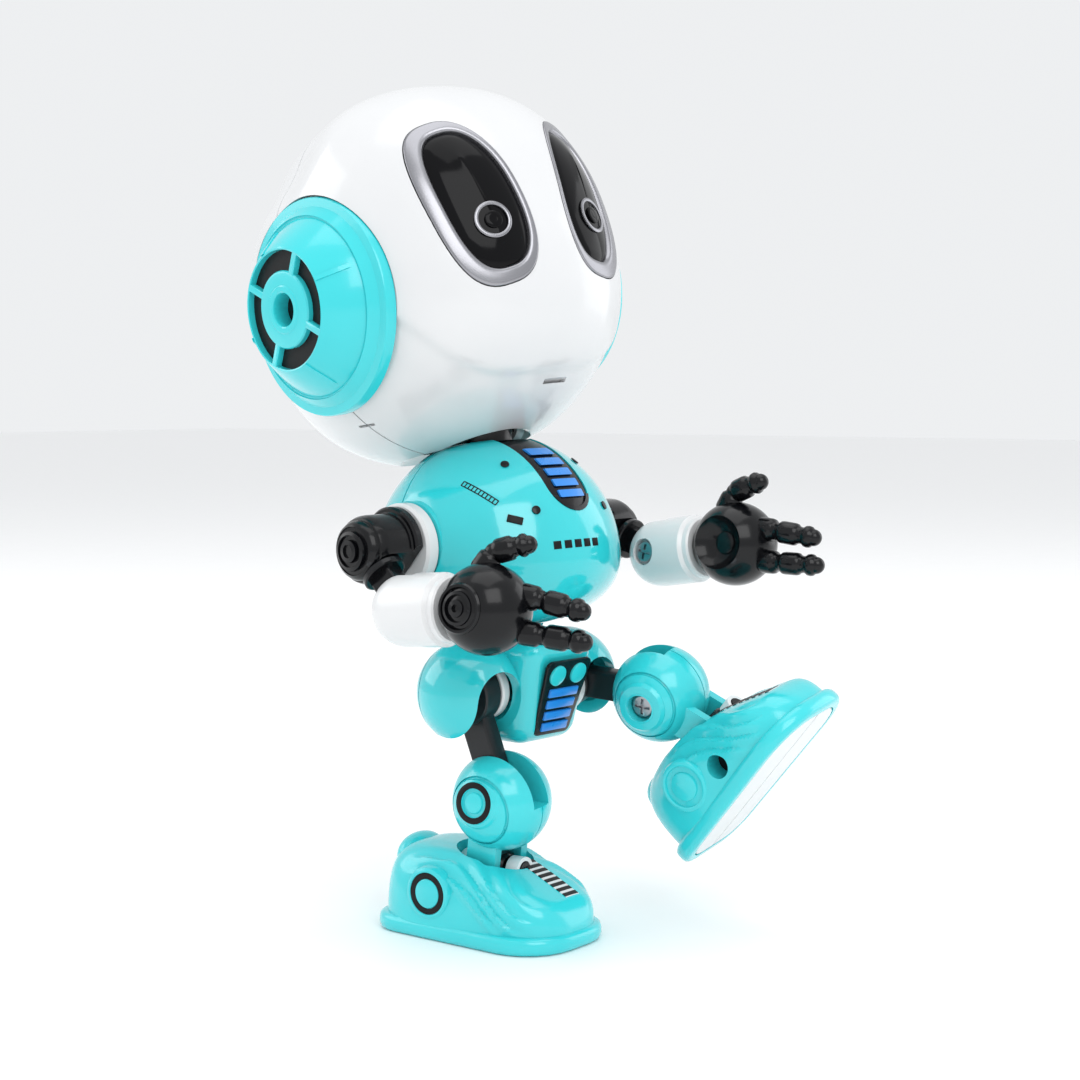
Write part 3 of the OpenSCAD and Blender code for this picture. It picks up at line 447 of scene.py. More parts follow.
def head_form(grow=0.0, u=176, v=116):
    """The egg, drawn in a little under the jaw's crease and above the ears at the back."""
    bm = bmesh.new()
    bmesh.ops.create_uvsphere(bm, u_segments=u, v_segments=v, radius=1)
    for p in bm.verts:
        spot = onto_head(p.co, grow)
        jaw = smooth_step((crease_height(spot.x) - spot.z) / 1.1) * smooth_step((-spot.y - 2) / 8)
        rise = math.degrees(math.atan2(spot.z, max(abs(spot.x), 0.01)))
        saddle = math.exp(-((rise - 47) / 15) ** 2) * smooth_step((spot.y + 9) / 12)
        p.co = spot * (1 - (0.5 * jaw + 2.0 * saddle) / spot.length)
    return bm


def face_point(x, z, lift=0.0):
    """Point on the face side above (x, z), lifted along the surface's normal."""
    p = HEAD_POWER
    share = max(1 - abs(x / HEAD[0]) ** p - abs(z / HEAD[2]) ** p, 1e-4)
    spot = Vector((x, -HEAD[1] * share ** (1 / p), z))
    normal = Vector([math.copysign(abs(c / s) ** (p - 1) / s, c) for c, s in zip(spot, HEAD)]).normalized()
    return spot + normal * lift


EYE_X, EYE_Z, EYE_SLANT = 9.6, 2.1, -8
EYE_W, EYE_H = 5, 10.4
PUPIL_X, PUPIL_Z = 9.2, -1.8


def eye_outline(side, angle, grow):
    """Point of the slanted oval round an eye; the band round it is set outwards and down."""
    c, s = math.cos(angle), math.sin(angle)
    band = max(grow, 0)
    x = math.copysign(abs(c) ** 0.76, c) * (EYE_W + grow) * (1 - 0.07 * s)
    z = math.copysign(abs(s) ** 0.84, s) * (EYE_H + grow + 0.4 * band)
    lean = math.radians(EYE_SLANT) * side
    return (side * (EYE_X + 0.32 * band) + x * math.cos(lean) - z * math.sin(lean),
            EYE_Z - 0.2 * band + z * math.cos(lean) + x * math.sin(lean))


def eye_rings(side, rings, close=False):
    """Loops round an eye, each a (growth, lift) pair, bridged in order."""
    bm = bmesh.new()
    loops, steps = [], 72
    for grow, lift in rings:
        made = bmesh.ops.create_circle(bm, cap_ends=False, segments=steps, radius=1)["verts"]
        for i, v in enumerate(made):
            x, z = eye_outline(side, 2 * math.pi * i / steps, grow)
            v.co = face_point(x, z, lift)
        loops.append([bm.edges.get((a, b)) for a, b in zip(made, made[1:] + made[:1])])
    pairs = list(zip(loops, loops[1:])) + ([(loops[-1], loops[0])] if close else [])
    for a, b in pairs:
        bmesh.ops.bridge_loops(bm, edges=a + b)
    if not close:
        close_holes(bm)
    bmesh.ops.recalc_face_normals(bm, faces=bm.faces)
    return bm


def ear_tool(r, x0, x1, side):
    return on_side(put(rod(r, x0, x1, "x", steps=96), move(0, 0, EAR_Z)), side)


def door_prism(grow):
    """Outline of the battery door, cut through the back of the head."""
    half_w, half_h, r = 6.5 + 1.2 + grow, 9.5 + 1.2 + grow, 1.6 + grow
    w, h = half_w - r, half_h - r
    outline = round_corners([(w, h, r, 0), (-w, h, r, 90), (-w, -h, r, 180), (w, -h, r, 270)])
    return put(prism(outline, -40, -8, "y"), move(0, 0, 2))


NECK_TILTS = (-25, -19, -13, -8, -3)  # tilts at which the head clears the body
SWITCH_AT = move(0, HEAD[1] - 6, -HEAD[2] + 8.6) @ turn(-40, X)


def casing():
    """Hollow head with its seats, openings and the fine groove between its halves."""
    shell = cut(head_form(), head_form(-HEAD_WALL, 96, 60))
    for side in (-1, 1):
        shell = cut(shell, ear_tool(EAR_R - 1.15, 8, 40, side), ear_tool(EAR_R + 0.2, 20.5, 40, side))
        shell = cut(shell, eye_rings(side, [(1.5, 4), (1.5, -6)]))
    shell = cut(shell, put(rod(8.3, -HEAD[2] - 4, -HEAD[2] + 8, steps=72), move(0, 3.1)))
    for tilt in NECK_TILTS:
        body = put(ball(TORSO_R + 0.15, 96, 60), move(0, 0, TORSO_CZ - TORSO_H))
        shell = cut(shell, put(body, head_on_neck(tilt).inverted()))
    shell = cut(shell, door_prism(0.18))
    shell = cut(shell, put(block((-3.8, -6, -1.4), (3.8, 3, 1.4), 0.3), SWITCH_AT))
    shell = cut(shell, put(block((-2.2, -4, -0.24), (2.2, 4, 0.24), 0.1), move(1.5, -17, -22)),
                put(block((-4, -1.5, -0.22), (2, 1.5, 0.22), 0.1),
                    move(-18, 3.2, -19.9) @ turn(-34, Y) @ turn(17, X)))
    return cut(shell, seam_groove(HEAD_SEAM, head_form(-0.35, 96, 60)))


for part, half in zip(("front", "rear"), halves(casing(), HEAD_SEAM)):
    place("casing_" + part, half, HEAD_AT, "head", HEAD_WHITE, "head_%s_shell" % part, shade=24)

for name, side in (("right", -1), ("left", 1)):
    bezel = eye_rings(side, [(1.42, -1.2), (1.42, 0.02), (1.36, 0.12), (1.2, 0.16), (0.5, 0.03),
                             (0.18, -0.06), (0.1, -0.22), (0.0, -0.6), (0.0, -1.2)], close=True)
    place("bezel_" + name, bezel, HEAD_AT, "head", SILVER, "eye_bezel_" + name, shade=50)
    dome = [(-0.02, -1.2), (-0.02, -0.6)] + [(-5 * k, -0.52 + 0.55 * k ** 0.6)
        for k in (0.12, 0.25, 0.4, 0.55, 0.7, 0.85)]
    lens = eye_rings(side, dome + [(-4.8, 0.05)])
    place("lens_" + name, lens, HEAD_AT, "head", LENS, "eye_lens_" + name, shade=60)

pupils = []
for side in (-1, 1):
    for r0, r1, lift in ((2.05, 2.55, 0.26), (0.0, 1.2, 0.3)):
        ring = lathe([(r1, 0.0), (r1, lift * 0.7), (r1 - 0.12, lift), (r0 + 0.12 if r0 else 0.5, lift),
                      (r0, lift * 0.7), (r0, 0.0)] + [(r1, 0.0)] * (r0 > 0), 48)
        for v in ring.verts:
            height = v.co.z
            v.co = face_point(side * PUPIL_X + v.co.x, PUPIL_Z + v.co.y, height)
        pupils.append(ring)
place("pupil_marks", together(*pupils[::2]), HEAD_AT, "head", SILVER, "pupil_rings", shade=50)
place("pupil_domes", together(*pupils[1::2]), HEAD_AT, "head", LENS, shade=50)


def ear_disc():
    """Wide rim, a step, a cone with four raised ribs, and a spoked opening round a hub."""
    body = lathe([(0, 0), (EAR_R - 1.4, 0), (EAR_R - 1.4, 1), (EAR_R, 1), (EAR_R, 2.3), (EAR_R - 0.15, 2.6),
                  (EAR_R - 1.3, 2.75), (EAR_R - 2.45, 4.0), (EAR_R - 2.57, 3.82), (EAR_R - 2.77, 3.82),
                  (EAR_R - 2.9, 4.1), (8.6, 8.15), (8.3, 8.38), (8.1, 8.3), (8.05, 7.15), (0, 7.15)], 144,
                 "x")
    ring = lathe([(8.5, 4), (8.5, 8.5), (8.8, 8.22), (11.6, 4.95), (11.9, 4.2), (11.9, 3.5), (8.5, 3.5),
                  (8.5, 4)], 144, "x")
    ribs = keep(ring, join(block((-1, -0.32, -20), (10, 0.32, 20)), block((-1, -20, -0.32), (10, 20, 0.32))))
    hub = lathe([(0, 3), (5.3, 3), (5.3, 8.1), (5.15, 8.3), (4.9, 8.35), (3.3, 8.4), (3.1, 8.55),
                 (2.5, 8.55), (2.3, 8.4), (2.2, 8.1), (2.2, 5.2), (0, 5.2)], 96, "x")
    spokes = [put(block((6.6, -0.5, 5.0), (8.32, 0.5, 8.3), 0.12), turn(45 + 90 * i, X)) for i in range(4)]
    body = cut(body, rod(2.2, 5.2, 12, "x"))
    return put(join(body, put(ribs, turn(6, X)), hub, *spokes), turn(180, Z))


def ear_insert():
    """Black ring behind the spokes and the dark floor of the hub's hole."""
    ring = lathe([(5.25, 7.05), (8.15, 7.05), (8.15, 7.4), (5.25, 7.4), (5.25, 7.05)], 96, "x")
    floor = lathe([(0, 5.1), (2.25, 5.1), (2.25, 6.0), (0, 6.0)], 64, "x")
    return put(together(ring, floor), turn(180, Z))


for name, side in (("right", -1), ("left", 1)):
    seat = HEAD_AT @ (FLIP if side > 0 else Matrix()) @ move(-HEAD[0] + EAR_SINK, 0, EAR_Z)
    place("ear_" + name, ear_disc(), seat, "head", TURQUOISE_PLASTIC, "ear_disc_" + name)
    place("ear_grille_" + name, ear_insert(), seat, "head", PRINT_BLACK, "ear_insert_" + name)

DOOR_SCREW_Z = -7.4
door = keep(cut(head_form(-0.1), head_form(-1.5, 96, 60)), door_prism(0))
door = cut(door, put(rod(0.8, 0, 40, "y"), move(0, 10, DOOR_SCREW_Z)),
           put(rod(1.7, HEAD[1] - 0.9, 40, "y"), move(0, 0, DOOR_SCREW_Z)))
grips = [put(block((-3, 20, -0.22), (3, 30, 0.22), 0.15), move(0, 0, 7.5 + i * 1.1)) for i in range(3)]
place("battery_cover", cut(door, *[cut(g, head_form(-0.35, 96, 60)) for g in grips]), HEAD_AT, "head",
      HEAD_WHITE, "battery_door", shade=24)


def screw(head_r, head_h, cross=0.5, shank=0.8, length=5):
    """Pan-head screw with a cross recess; its head's underside is at z = 0."""
    body = lathe([(0, -length), (shank, -length), (shank, 0), (head_r, 0), (head_r, head_h * 0.55),
                  (head_r * 0.85, head_h * 0.85), (head_r * 0.4, head_h), (0, head_h)], 48)
    for a in (0, 90):
        body = cut(body, put(block((-head_r * 0.68, -cross / 2, head_h * 0.35),
            (head_r * 0.68, cross / 2, head_h + 1), 0.06), turn(a + 20, Z)))
    return body


place("cover_screw", screw(1.4, 0.8, 0.4, 0.65, 2), HEAD_AT @ move(0, HEAD[1] - 0.55, DOOR_SCREW_Z)
      @ turn(-90, X), "head", STEEL, "door_screw")
knob = join(block((-1.8, -3, -1.1), (1.8, 0.5, 1.1), 0.25), block((-4.6, -3, -2), (4.6, -2.2, 2), 0.15))
knob = cut(knob, *[block((x - 0.2, 0.15, -1.6), (x + 0.2, 1, 1.6), 0.08) for x in (-0.9, 0, 0.9)])
place("switch_knob", knob, HEAD_AT @ SWITCH_AT, "power_switch", BLACK_PLASTIC, "power_switch")


# ---- torso -----------------------------------------------------------------------------------------
def torso_ball(r, u, v):
    return ball(r, u, v, (0, 0, TORSO_CZ))


def torso_form(inset=0.0, steps=128):
    """Ball with a fuller, flat-bottomed lower half, spun from one half profile."""
    r = TORSO_R - inset
    depth = TORSO_CZ + 1.2 - inset
    top = TORSO_H - 2.3 - inset
    high = math.asin((top - TORSO_CZ) / r)
    drops = [math.sin(math.pi / 2 * (1 - i / 20)) for i in range(20)]
    profile = [(r * max(1 - t ** 2.5, 0) ** 0.4, TORSO_CZ - depth * t) for t in drops]
    profile += [(r * math.cos(high * i / 20), TORSO_CZ + r * math.sin(high * i / 20)) for i in range(21)]
    profile.append((0, top))
    return lathe(profile, steps)


TONGUE_R, TONGUE_Z = 3.6, 17.6
COLLAR_SEAT = SHOULDER_X - 0.9


def tongue(grow):
    """Outline of the chest's long recess, rounded at its lower end, cut straight through the front."""
    r = TONGUE_R + grow
    arc = [(r * math.cos(a), TONGUE_Z - r * math.sin(a)) for a in [math.pi * i / 16 for i in range(17)]]
    return prism(arc + [(-r, 30), (r, 30)], 0, 30, "y")


def torso_casing():
    """Hollow body with shoulder seats, swivel sockets, the lugs of the waist pin and the chest's recess."""
    shell = cut(torso_form(), torso_form(TORSO_WALL, 96))
    for s in (-1, 1):
        boss = put(rod(6.2, 13, COLLAR_SEAT, "x", 64), move(0, 0, SHOULDER_Z))
        shell = join(shell, on_side(boss, s))
        seat = put(rod(6.25, COLLAR_SEAT, 30, "x", 96), move(0, 0, SHOULDER_Z))
        shell = cut(shell, on_side(seat, s))
        lug = join(rod(1.9, 4.65, 6.05, "x"), block((4.65, -1.9, 0), (6.05, 1.9, 3)))
        shell = join(shell, on_side(lug, s))
    shell = cut(shell, ball(4.7), rod(4.9, -4, 0.4), rod(4.45, TORSO_H - 6, TORSO_H + 4),
                put(rod(3.15, -30, 30, "x"), move(0, 0, SHOULDER_Z)), rod(1.35, -10, 10, "x"))
    recess = cut(tongue(0.15), torso_ball(TORSO_R - 0.55, 96, 60))
    shell = cut(shell, recess)
    core = torso_ball(TORSO_R - 0.4, 96, 60)
    return cut(shell, seam_groove(TORSO_SEAM, core, half=0.14))


for part, half in zip(("front", "rear"), halves(torso_casing(), TORSO_SEAM, slit=0.02)):
    place("body_" + part, half, TORSO, "torso", TURQUOISE_PAINT, "torso_%s_shell" % part, shade=26)


def chest_slice(r0, r1, outline):
    """Part of the chest's ball skin between two radii, inside an outline cut along Y."""
    skin = cut(torso_ball(r1, 128, 80), torso_ball(r0, 96, 60))
    return keep(keep(skin, outline), block((-30, -30, -10), (30, 0, TORSO_H - 2.45)))


panel = cut(chest_slice(TORSO_R - 0.54, TORSO_R - 0.16, tongue(0.08)), rod(5.6, TORSO_H - 6, TORSO_H + 4))
place("chest_inlay", panel, TORSO, "torso", BLACK_PLASTIC, "chest_panel")
bars = [chest_slice(TORSO_R - 0.3, TORSO_R + 0.1, put(block((-2.3, -30, 0), (2.3, 0, 1.05), 0.15),
    move(0, 0, 15.9 + i * 1.6))) for i in range(5)]
place("chest_light_bars", together(*bars), TORSO, "torso", PANEL_BLUE, "chest_bars")
lip = chest_slice(TORSO_R - 0.5, TORSO_R + 0.12, cut(tongue(0.1), put(tongue(-0.5), move(0, -5, 0)),
    put(block((-10, -60, 16.2), (10, 5, 40)), Matrix())))
place("chest_lip", lip, TORSO, "torso", BLACK_PLASTIC)


def on_chest(x, z):
    """Frame on the chest's skin above (x, z), its Z pointing out."""
    out = Vector((x, -math.sqrt(max(TORSO_R ** 2 - x ** 2 - (z - TORSO_CZ) ** 2, 0.01)),
                  z - TORSO_CZ)) / TORSO_R
    across = Z.cross(out).normalized()
    up = out.cross(across)
    turned = Matrix((across, up, out)).transposed().to_4x4()
    return Matrix.Translation(out * TORSO_R + Vector((0, 0, TORSO_CZ))) @ turned


def printed(bm, at):
    """Lays a thin mark on the chest's ball, keeping each point's height above it."""
    heights = [v.co.z for v in bm.verts]
    put(bm, at)
    middle = Vector((0, 0, TORSO_CZ))
    for v, height in zip(bm.verts, heights):
        v.co = middle + (v.co - middle).normalized() * (TORSO_R + height)
    return bm


dots = [put(rod(0.62, 0.02, 0.24, "z", 24, 0.08), on_chest(x, z)) for x,
        z in ((-6.9, 21.2), (6.9, 21.2), (-6.7, 14.4), (6.7, 14.4))]
place("chest_screws", together(*dots), TORSO, "torso", BLACK_PLASTIC, "torso_screws")
dashes = [put(block((-0.6, -0.55, -0.05), (0.6, 0.55, 0.05), 0.04), on_chest(-4.9 + i * 1.7, 9.4))
          for i in range(5)]
steps = [-3.0 + 0.6 * i for i in range(11)]
rails = [block((x - 0.07, y, -0.1), (x + 0.07, y + 0.6, 0.05)) for x in (-0.38, 0.38) for y in steps[:-1]]
rungs = [block((-0.38, y - 0.08, -0.1), (0.38, y + 0.08, 0.05)) for y in steps]
ladder = [printed(p, on_chest(-11.6, 17.7) @ turn(50, Z)) for p in rails + rungs]
port = put(block((-1.1, -0.55, -0.05), (1.1, 0.55, 0.14), 0.12), on_chest(-9.6, 13.4) @ turn(-20, Z))
place("chest_print", together(*dashes, *ladder, port), TORSO, "torso", PRINT_BLACK)

for name, s in SIDES.items():
    collar = lathe([(3.15, -0.8), (5.7, -0.8), (6.0, -0.5), (6.0, 1.0), (5.6, 1.35), (3.5, 1.4),
                    (3.15, 1.1), (3.15, -0.8)], 96, "x")
    put(collar, turn(180, Z))
    place("collar_ring_" + name, collar, TORSO @ (FLIP if s else Matrix())
          @ move(-SHOULDER_X, 0, SHOULDER_Z), "torso", WHITE_PLASTIC, "collar_" + name)

waist = lathe([(0, -6), (4.2, -6), (4.4, -5.8), (4.4, -4.9), (4.2, -4.7), (3.2, -4.6), (3.2, -2.6),
               (3.7, -1.9), (4.13, -0.8), (4.2, 0), (3.8, 1.8), (2.8, 3.13), (0, 3.3)], 72)
place("waist_ball", join(waist, rod(1.2, -6.25, 6.25, "x")), WAIST, "waist", BLACK_PLASTIC, "waist_swivel")
neck = lathe([(0, -5.1), (5.2, -5.1), (5.4, -4.9), (5.4, -4.1), (5.2, -3.9), (3.9, -3.9), (3.9, -1.6),
              (4.12, -0.8), (4.2, 0), (3.9, 1.6), (2.77, 3.15), (0, 3.2)], 72)
place("neck_ball", join(neck, rod(1.2, -6.25, 6.25, "x")), NECK, "neck", BLACK_PLASTIC, "neck_swivel")


# ---- arms -----------------------------------------------------------------------------------------
def shoulder_hub():
    """Hub with stepped flange, round end and the concentric cap seen from outside."""
    axle = lathe([(0, -2), (3, -2), (3, 4.4), (4.3, 4.4), (4.4, 4.5), (4.4, 5.5), (4.3, 5.6), (0, 5.6)], 48,
                 "x")
    outer = lathe([(0, 1.65), (5.3, 1.65), (5.6, 1.9), (5.6, 2.7), (5.3, 3.0), (4.9, 3.0), (4.7, 3.2),
                   (4.7, 6.8), (4.6, 7.6), (4.35, 8.2), (4.1, 8.3), (4.05, 8.7), (3.7, 9.3), (3.3, 9.6),
                   (3.2, 9.45), (2.75, 9.5), (2.65, 10.1), (2.2, 10.25), (2.05, 9.9), (1.6, 9.9),
                   (1.5, 10.4), (0.9, 10.5), (0.8, 10.2), (0, 10.2)], 72, "x")
    put(outer, turn(180, Z))
    hub = join(outer, axle)
    return cut(hub, put(rod(1.95, -6, 0), move(-ELBOW_X)), put(rod(8, -6, -3.6, "z"), move(-ELBOW_X)))


def upper_arm():
    knuckle = put(lathe([(0, -1.5), (3.4, -1.5), (3.7, -1.2), (3.7, 1.2), (3.4, 1.5), (0, 1.5)], 64, "x"),
                  move(0, 0, -UPPER_ARM))
    stem = block((-1.5, -1.9, -UPPER_ARM), (1.5, 1.9, -4.2), 0.35)
    disc = lathe([(0, -4.75), (2.8, -4.75), (3, -4.6), (3, -4.0), (2.8, -3.85), (1.8, -3.85), (1.8, -0.4),
                  (0, -0.4)], 48)
    return cut(join(knuckle, stem, disc), put(rod(1.55, -5, 5, "x"), move(0, 0, -UPPER_ARM)))


def forearm():
    """Round sleeve with a cuff step at the wrist, a slot for the elbow and the faint seam of its halves."""
    r, low = FOREARM_R, -FOREARM
    dome = [(r * math.cos(a), r * math.sin(a)) for a in [math.pi / 2 * i / 14 for i in range(15)]]
    body = lathe([(0, low), (r - 0.75, low), (r - 0.5, low + 0.25), (r - 0.5, low + 1.0),
                  (r - 0.2, low + 1.2), (r, low + 1.45)] + dome, 96)
    slot = join(rod(3.95, -1.75, 1.75, "x", 64), wedge(r + 2, 66, 206, 1.75))
    body = cut(body, slot, rod(2.15, low - 1, low + 3.2),
               put(ball(PALM_R + GAP, 72, 44), move(0, 0, low - PALM_R + 0.6)))
    body = cut(body, rod(1.95, 3.5, 9, "x"), rod(0.75, -3.2, 9, "x"))
    seam = cut(block((-0.1, -20, -30), (0.1, 20, 60)), put(ball(r - 0.22, 72, 44), Matrix()),
               rod(r - 0.22, low - 5, 0, "z", 72))
    return cut(body, seam)


def capsule(length, r):
    """Finger bone along -Z, fuller in its middle, with round ends narrower than the bone."""
    waist = 0.78 * r
    profile = [(0, waist)] + [(waist * math.sin(a), waist * math.cos(a))
                              for a in [math.pi / 2 * i / 8 for i in range(1, 9)]]
    profile += [(r * 0.8, -0.12), (r * 0.96, -0.42), (r, -0.8), (r, -length + 0.7),
                (r * 0.96, -length + 0.35), (r * 0.8, -length + 0.06)]
    profile += [(waist * math.cos(a), -length - waist * math.sin(a))
                for a in [math.pi / 2 * i / 8 for i in range(9)]]
    return lathe(profile, 28)


def finger_bones(lengths, bends, r):
    """Bones end to end, each bent on from the last; their round ends leave a waist at every knuckle."""
    bones, at = [], Matrix()
    for i, (length, bend) in enumerate(zip(lengths, bends)):
        at = at @ turn(bend, Y)
        bones.append(put(capsule(length, r * (1 - 0.03 * i)), at))
        at = at @ move(0, 0, -length - 0.6)
    return bones


def hand(bend):
    """Ball palm with a dished front, ringed boss on its back, two fingers and a curled thumb."""
    r = FINGER / 2
    palm = ball(PALM_R, 80, 50)
    boss = lathe([(0, 0), (3.3, 0), (3.3, PALM_R - 0.75), (3.1, PALM_R - 0.5), (2.75, PALM_R - 0.5),
                  (2.65, PALM_R - 0.85), (2.3, PALM_R - 0.85), (2.2, PALM_R - 0.2), (1.8, PALM_R - 0.1),
                  (1.65, PALM_R - 0.5), (1.2, PALM_R - 0.5), (1.1, PALM_R + 0.05), (0.5, PALM_R + 0.15),
                  (0.4, PALM_R - 0.2), (0, PALM_R - 0.2)], 48)
    dish = cut(put(ball(4.6, 64, 40), move(PALM_R + 1.2, 0, -0.4)),
               put(rod(1.6, 0, 3.1, "x", 40, 0.15), move(0, 0, -0.4)))
    palm = cut(join(palm, put(boss, move(0, 0, 0.4) @ turn(-70, Y))), dish)
    bones = []
    for s in (-1, 1):
        root = move(0, 0.5 + s * 2.4, -4.2) @ turn(12 - 3 * s, X)
        bones += [put(b, root) for b in finger_bones((3, 3.2, 1.6), (0, 8, 8), r)]
    at = move(0.6, -PALM_R + 1.4, 1.2) @ turn(-52, X)
    for length, curl, thick in ((3, 0, r), (2.8, 38, r), (1.4, 8, r * 0.94)):
        at = at @ turn(curl, X)
        bones.append(put(capsule(length, thick), at))
        at = at @ move(0, 0, -length - 0.4)
    set_back = move(0, 0, -PALM_R + 0.6) @ turn(-bend, Y)
    stud = lathe([(0, -1), (2, -1), (2, 1.75), (2.7, 1.75), (2.7, 3.05), (0, 3.05)], 40)
    return join(put(palm, set_back), *[put(b, set_back) for b in bones], stud)


for name, s in SIDES.items():
    shoulder, upper, lower, wrist = ARMS[name]
    place("shoulder_hub_" + name, shoulder_hub(), shoulder, "shoulder_" + name, BLACK_PLASTIC,
          "shoulder_" + name)
    place("arm_link_" + name, upper_arm(), upper, "upper_arm_" + name, BLACK_PLASTIC, "upper_arm_" + name)
    place("sleeve_" + name, forearm(), lower, "forearm_" + name, WHITE_PLASTIC,
          ("forearm_%s_outer" % name, "forearm_%s_inner" % name), shade=28)
    place("elbow_screw_head_" + name, screw(1.65, 0.85, 0.42, 0.7, 6), lower @ move(3.55) @ turn(90, Y),
          "forearm_" + name, STEEL, "elbow_%s_screw" % name)
    place("palm_and_fingers_" + name, hand(WRIST_BEND[name]), wrist, "hand_" + name, BLACK_PLASTIC,
          "hand_" + name)


# ---- pelvis -----------------------------------------------------------------------------------------
FRONT_TOP, FRONT_LOW, HIPS_TOP, HIPS_LOW = -6.9, -3.4, 4.7, -5.1


def pelvis_block(inset):
    """Rounded block between the hips, its front sloping back and down."""
    bm = bmesh.new()
    bmesh.ops.create_cube(bm, size=2)
    r = 2.5
    corners = {(-1, 1): (4.3 + r, FRONT_TOP - r, HIPS_TOP + r), (1, 1): (4.3 + r, 6.2 + r, 3.3 + r),
               (-1, -1): (3.5 + r, FRONT_LOW - r, HIPS_LOW - r), (1, -1): (3.5 + r, 3.4 + r, HIPS_LOW - r)}
    for v in bm.verts:
        w, y, z = corners[(round(v.co.y), round(v.co.z))]
        v.co = Vector((math.copysign(w - inset, v.co.x), y + (inset if y < 0 else -inset),
                       z + (inset if z < 0 else -inset)))
    bmesh.ops.bevel(bm, geom=bm.edges[:], offset=max(r - inset, 0.6), offset_type="OFFSET", segments=6,
                    profile=0.5, affect="EDGES", clamp_overlap=True, material=-1)
    return bm


def hips_form(inset, u, v):
    """Block and both hip balls in one."""
    return join(pelvis_block(inset), *[ball(HIP_R - inset, u, v, (s * HIP_HALF, 0, 0)) for s in (-1, 1)])


def pelvis_casing():
    """Hollow hips with the waist's hole and, in each ball, the slot that the thigh swings in."""
    shell = cut(hips_form(0, 96, 60), hips_form(HIPS_WALL, 64, 40),
                put(rod(3.45, 2, 11), move(0, WAIST_BACK)))
    for s in (-1, 1):
        at = move(s * (HIP_HALF + 0.25))
        shell = cut(shell, put(wedge(HIP_R + 0.6, -174, -65, 4.1), at),
                    put(rod(4.08, -HIP_R - 0.6, -1.6), at @ turn(-84, X)))
    return cut(shell, seam_groove(HIPS_SEAM, hips_form(0.35, 64, 40)))


for part, half in zip(("front", "rear"), halves(pelvis_casing(), HIPS_SEAM)):
    place("hips_" + part, half, PELVIS, "pelvis", TURQUOISE_PAINT, "pelvis_%s_shell" % part, shade=28)

SLOPE = math.degrees(math.atan2(FRONT_LOW - FRONT_TOP, HIPS_TOP - HIPS_LOW))
PANEL_AT = PELVIS @ move(0, (FRONT_TOP + FRONT_LOW) / 2, (HIPS_TOP + HIPS_LOW) / 2)
PANEL_AT = PANEL_AT @ turn(90 + SLOPE, X) @ move(0, 0, 2.54)


plate = prism(round_corners([(3.5, 4.9, 1.0, 0), (-3.5, 4.9, 1.0, 90), (-2.8, -4.7, 0.8, 180),
                             (2.8, -4.7, 0.8, 270)]), 0, 0.48)
place("hips_inlay", soften(plate, 0.1, 40), PANEL_AT, "pelvis", BLACK_PLASTIC, "pelvis_panel")
buttons = [put(rod(1.5, 0.3, 0.8, "z", 40, 0.12), move(s * 2.1, 3.8)) for s in (-1, 1)]
place("hips_buttons", together(*buttons), PANEL_AT, "pelvis", TURQUOISE_PAINT)
blues = [put(block((-2.9 + 0.1 * i, -0.62, 0.3), (2.9 - 0.1 * i, 0.62, 0.8), 0.12), move(0, 1.1 - i * 1.75))
         for i in range(4)]
place("hips_light_bars", together(*blues), PANEL_AT, "pelvis", PANEL_BLUE, "pelvis_trim")


# ---- legs -------------------------------------------------------------------------------------------
def thigh_link():
    eye = lathe([(0, -1.7), (4.15, -1.7), (4.4, -1.45), (4.4, 1.45), (4.15, 1.7), (0, 1.7)], 64, "x")
    bar = block((-LINK_T / 2, -2.1, -THIGH), (LINK_T / 2, 2.1, 0), 0.35)
    knee = put(lathe([(0, -1.4), (3.2, -1.4), (3.4, -1.2), (3.4, 1.2), (3.2, 1.4), (0, 1.4)], 56, "x"),
               move(0, 0, -THIGH))
    link = join(eye, bar, knee)
    return cut(link, rod(1.6, -8, 8, "x"), put(rod(1.65, -8, 8, "x"), move(0, 0, -THIGH)),
               *[put(block((s * 2.6 if s > 0 else -4, -1.1, -11.5), (4 if s > 0 else s * 2.6, 1.1, -5.5),
                           0.4), Matrix()) for s in (-1, 1)])


def bush(side):
    x = 1.95 * side
    plate_end = lathe([(0, 0), (4.25, 0), (4.5, 0.25), (4.5, 1.35), (4.25, 1.6), (0, 1.6)], 64, "x")
    if side < 0:
        put(plate_end, turn(180, Z))
    return join(put(plate_end, move(x)), rod(1.45, min(-side * 1.6, side * 3), max(-side * 1.6, side * 3),
        "x"))


def raised_ring(direction):
    """Small circle standing proud of the knee ball in a direction."""
    ring = lathe([(0.72, 0), (1.0, 0), (1.0, 0.08), (0.92, 0.13), (0.8, 0.13), (0.72, 0.08), (0.72, 0)], 32)
    out = Vector(direction).normalized()
    return put(ring, Matrix.Translation(out * (KNEE_R - 0.02))
               @ out.to_track_quat("Z", "Y").to_matrix().to_4x4())


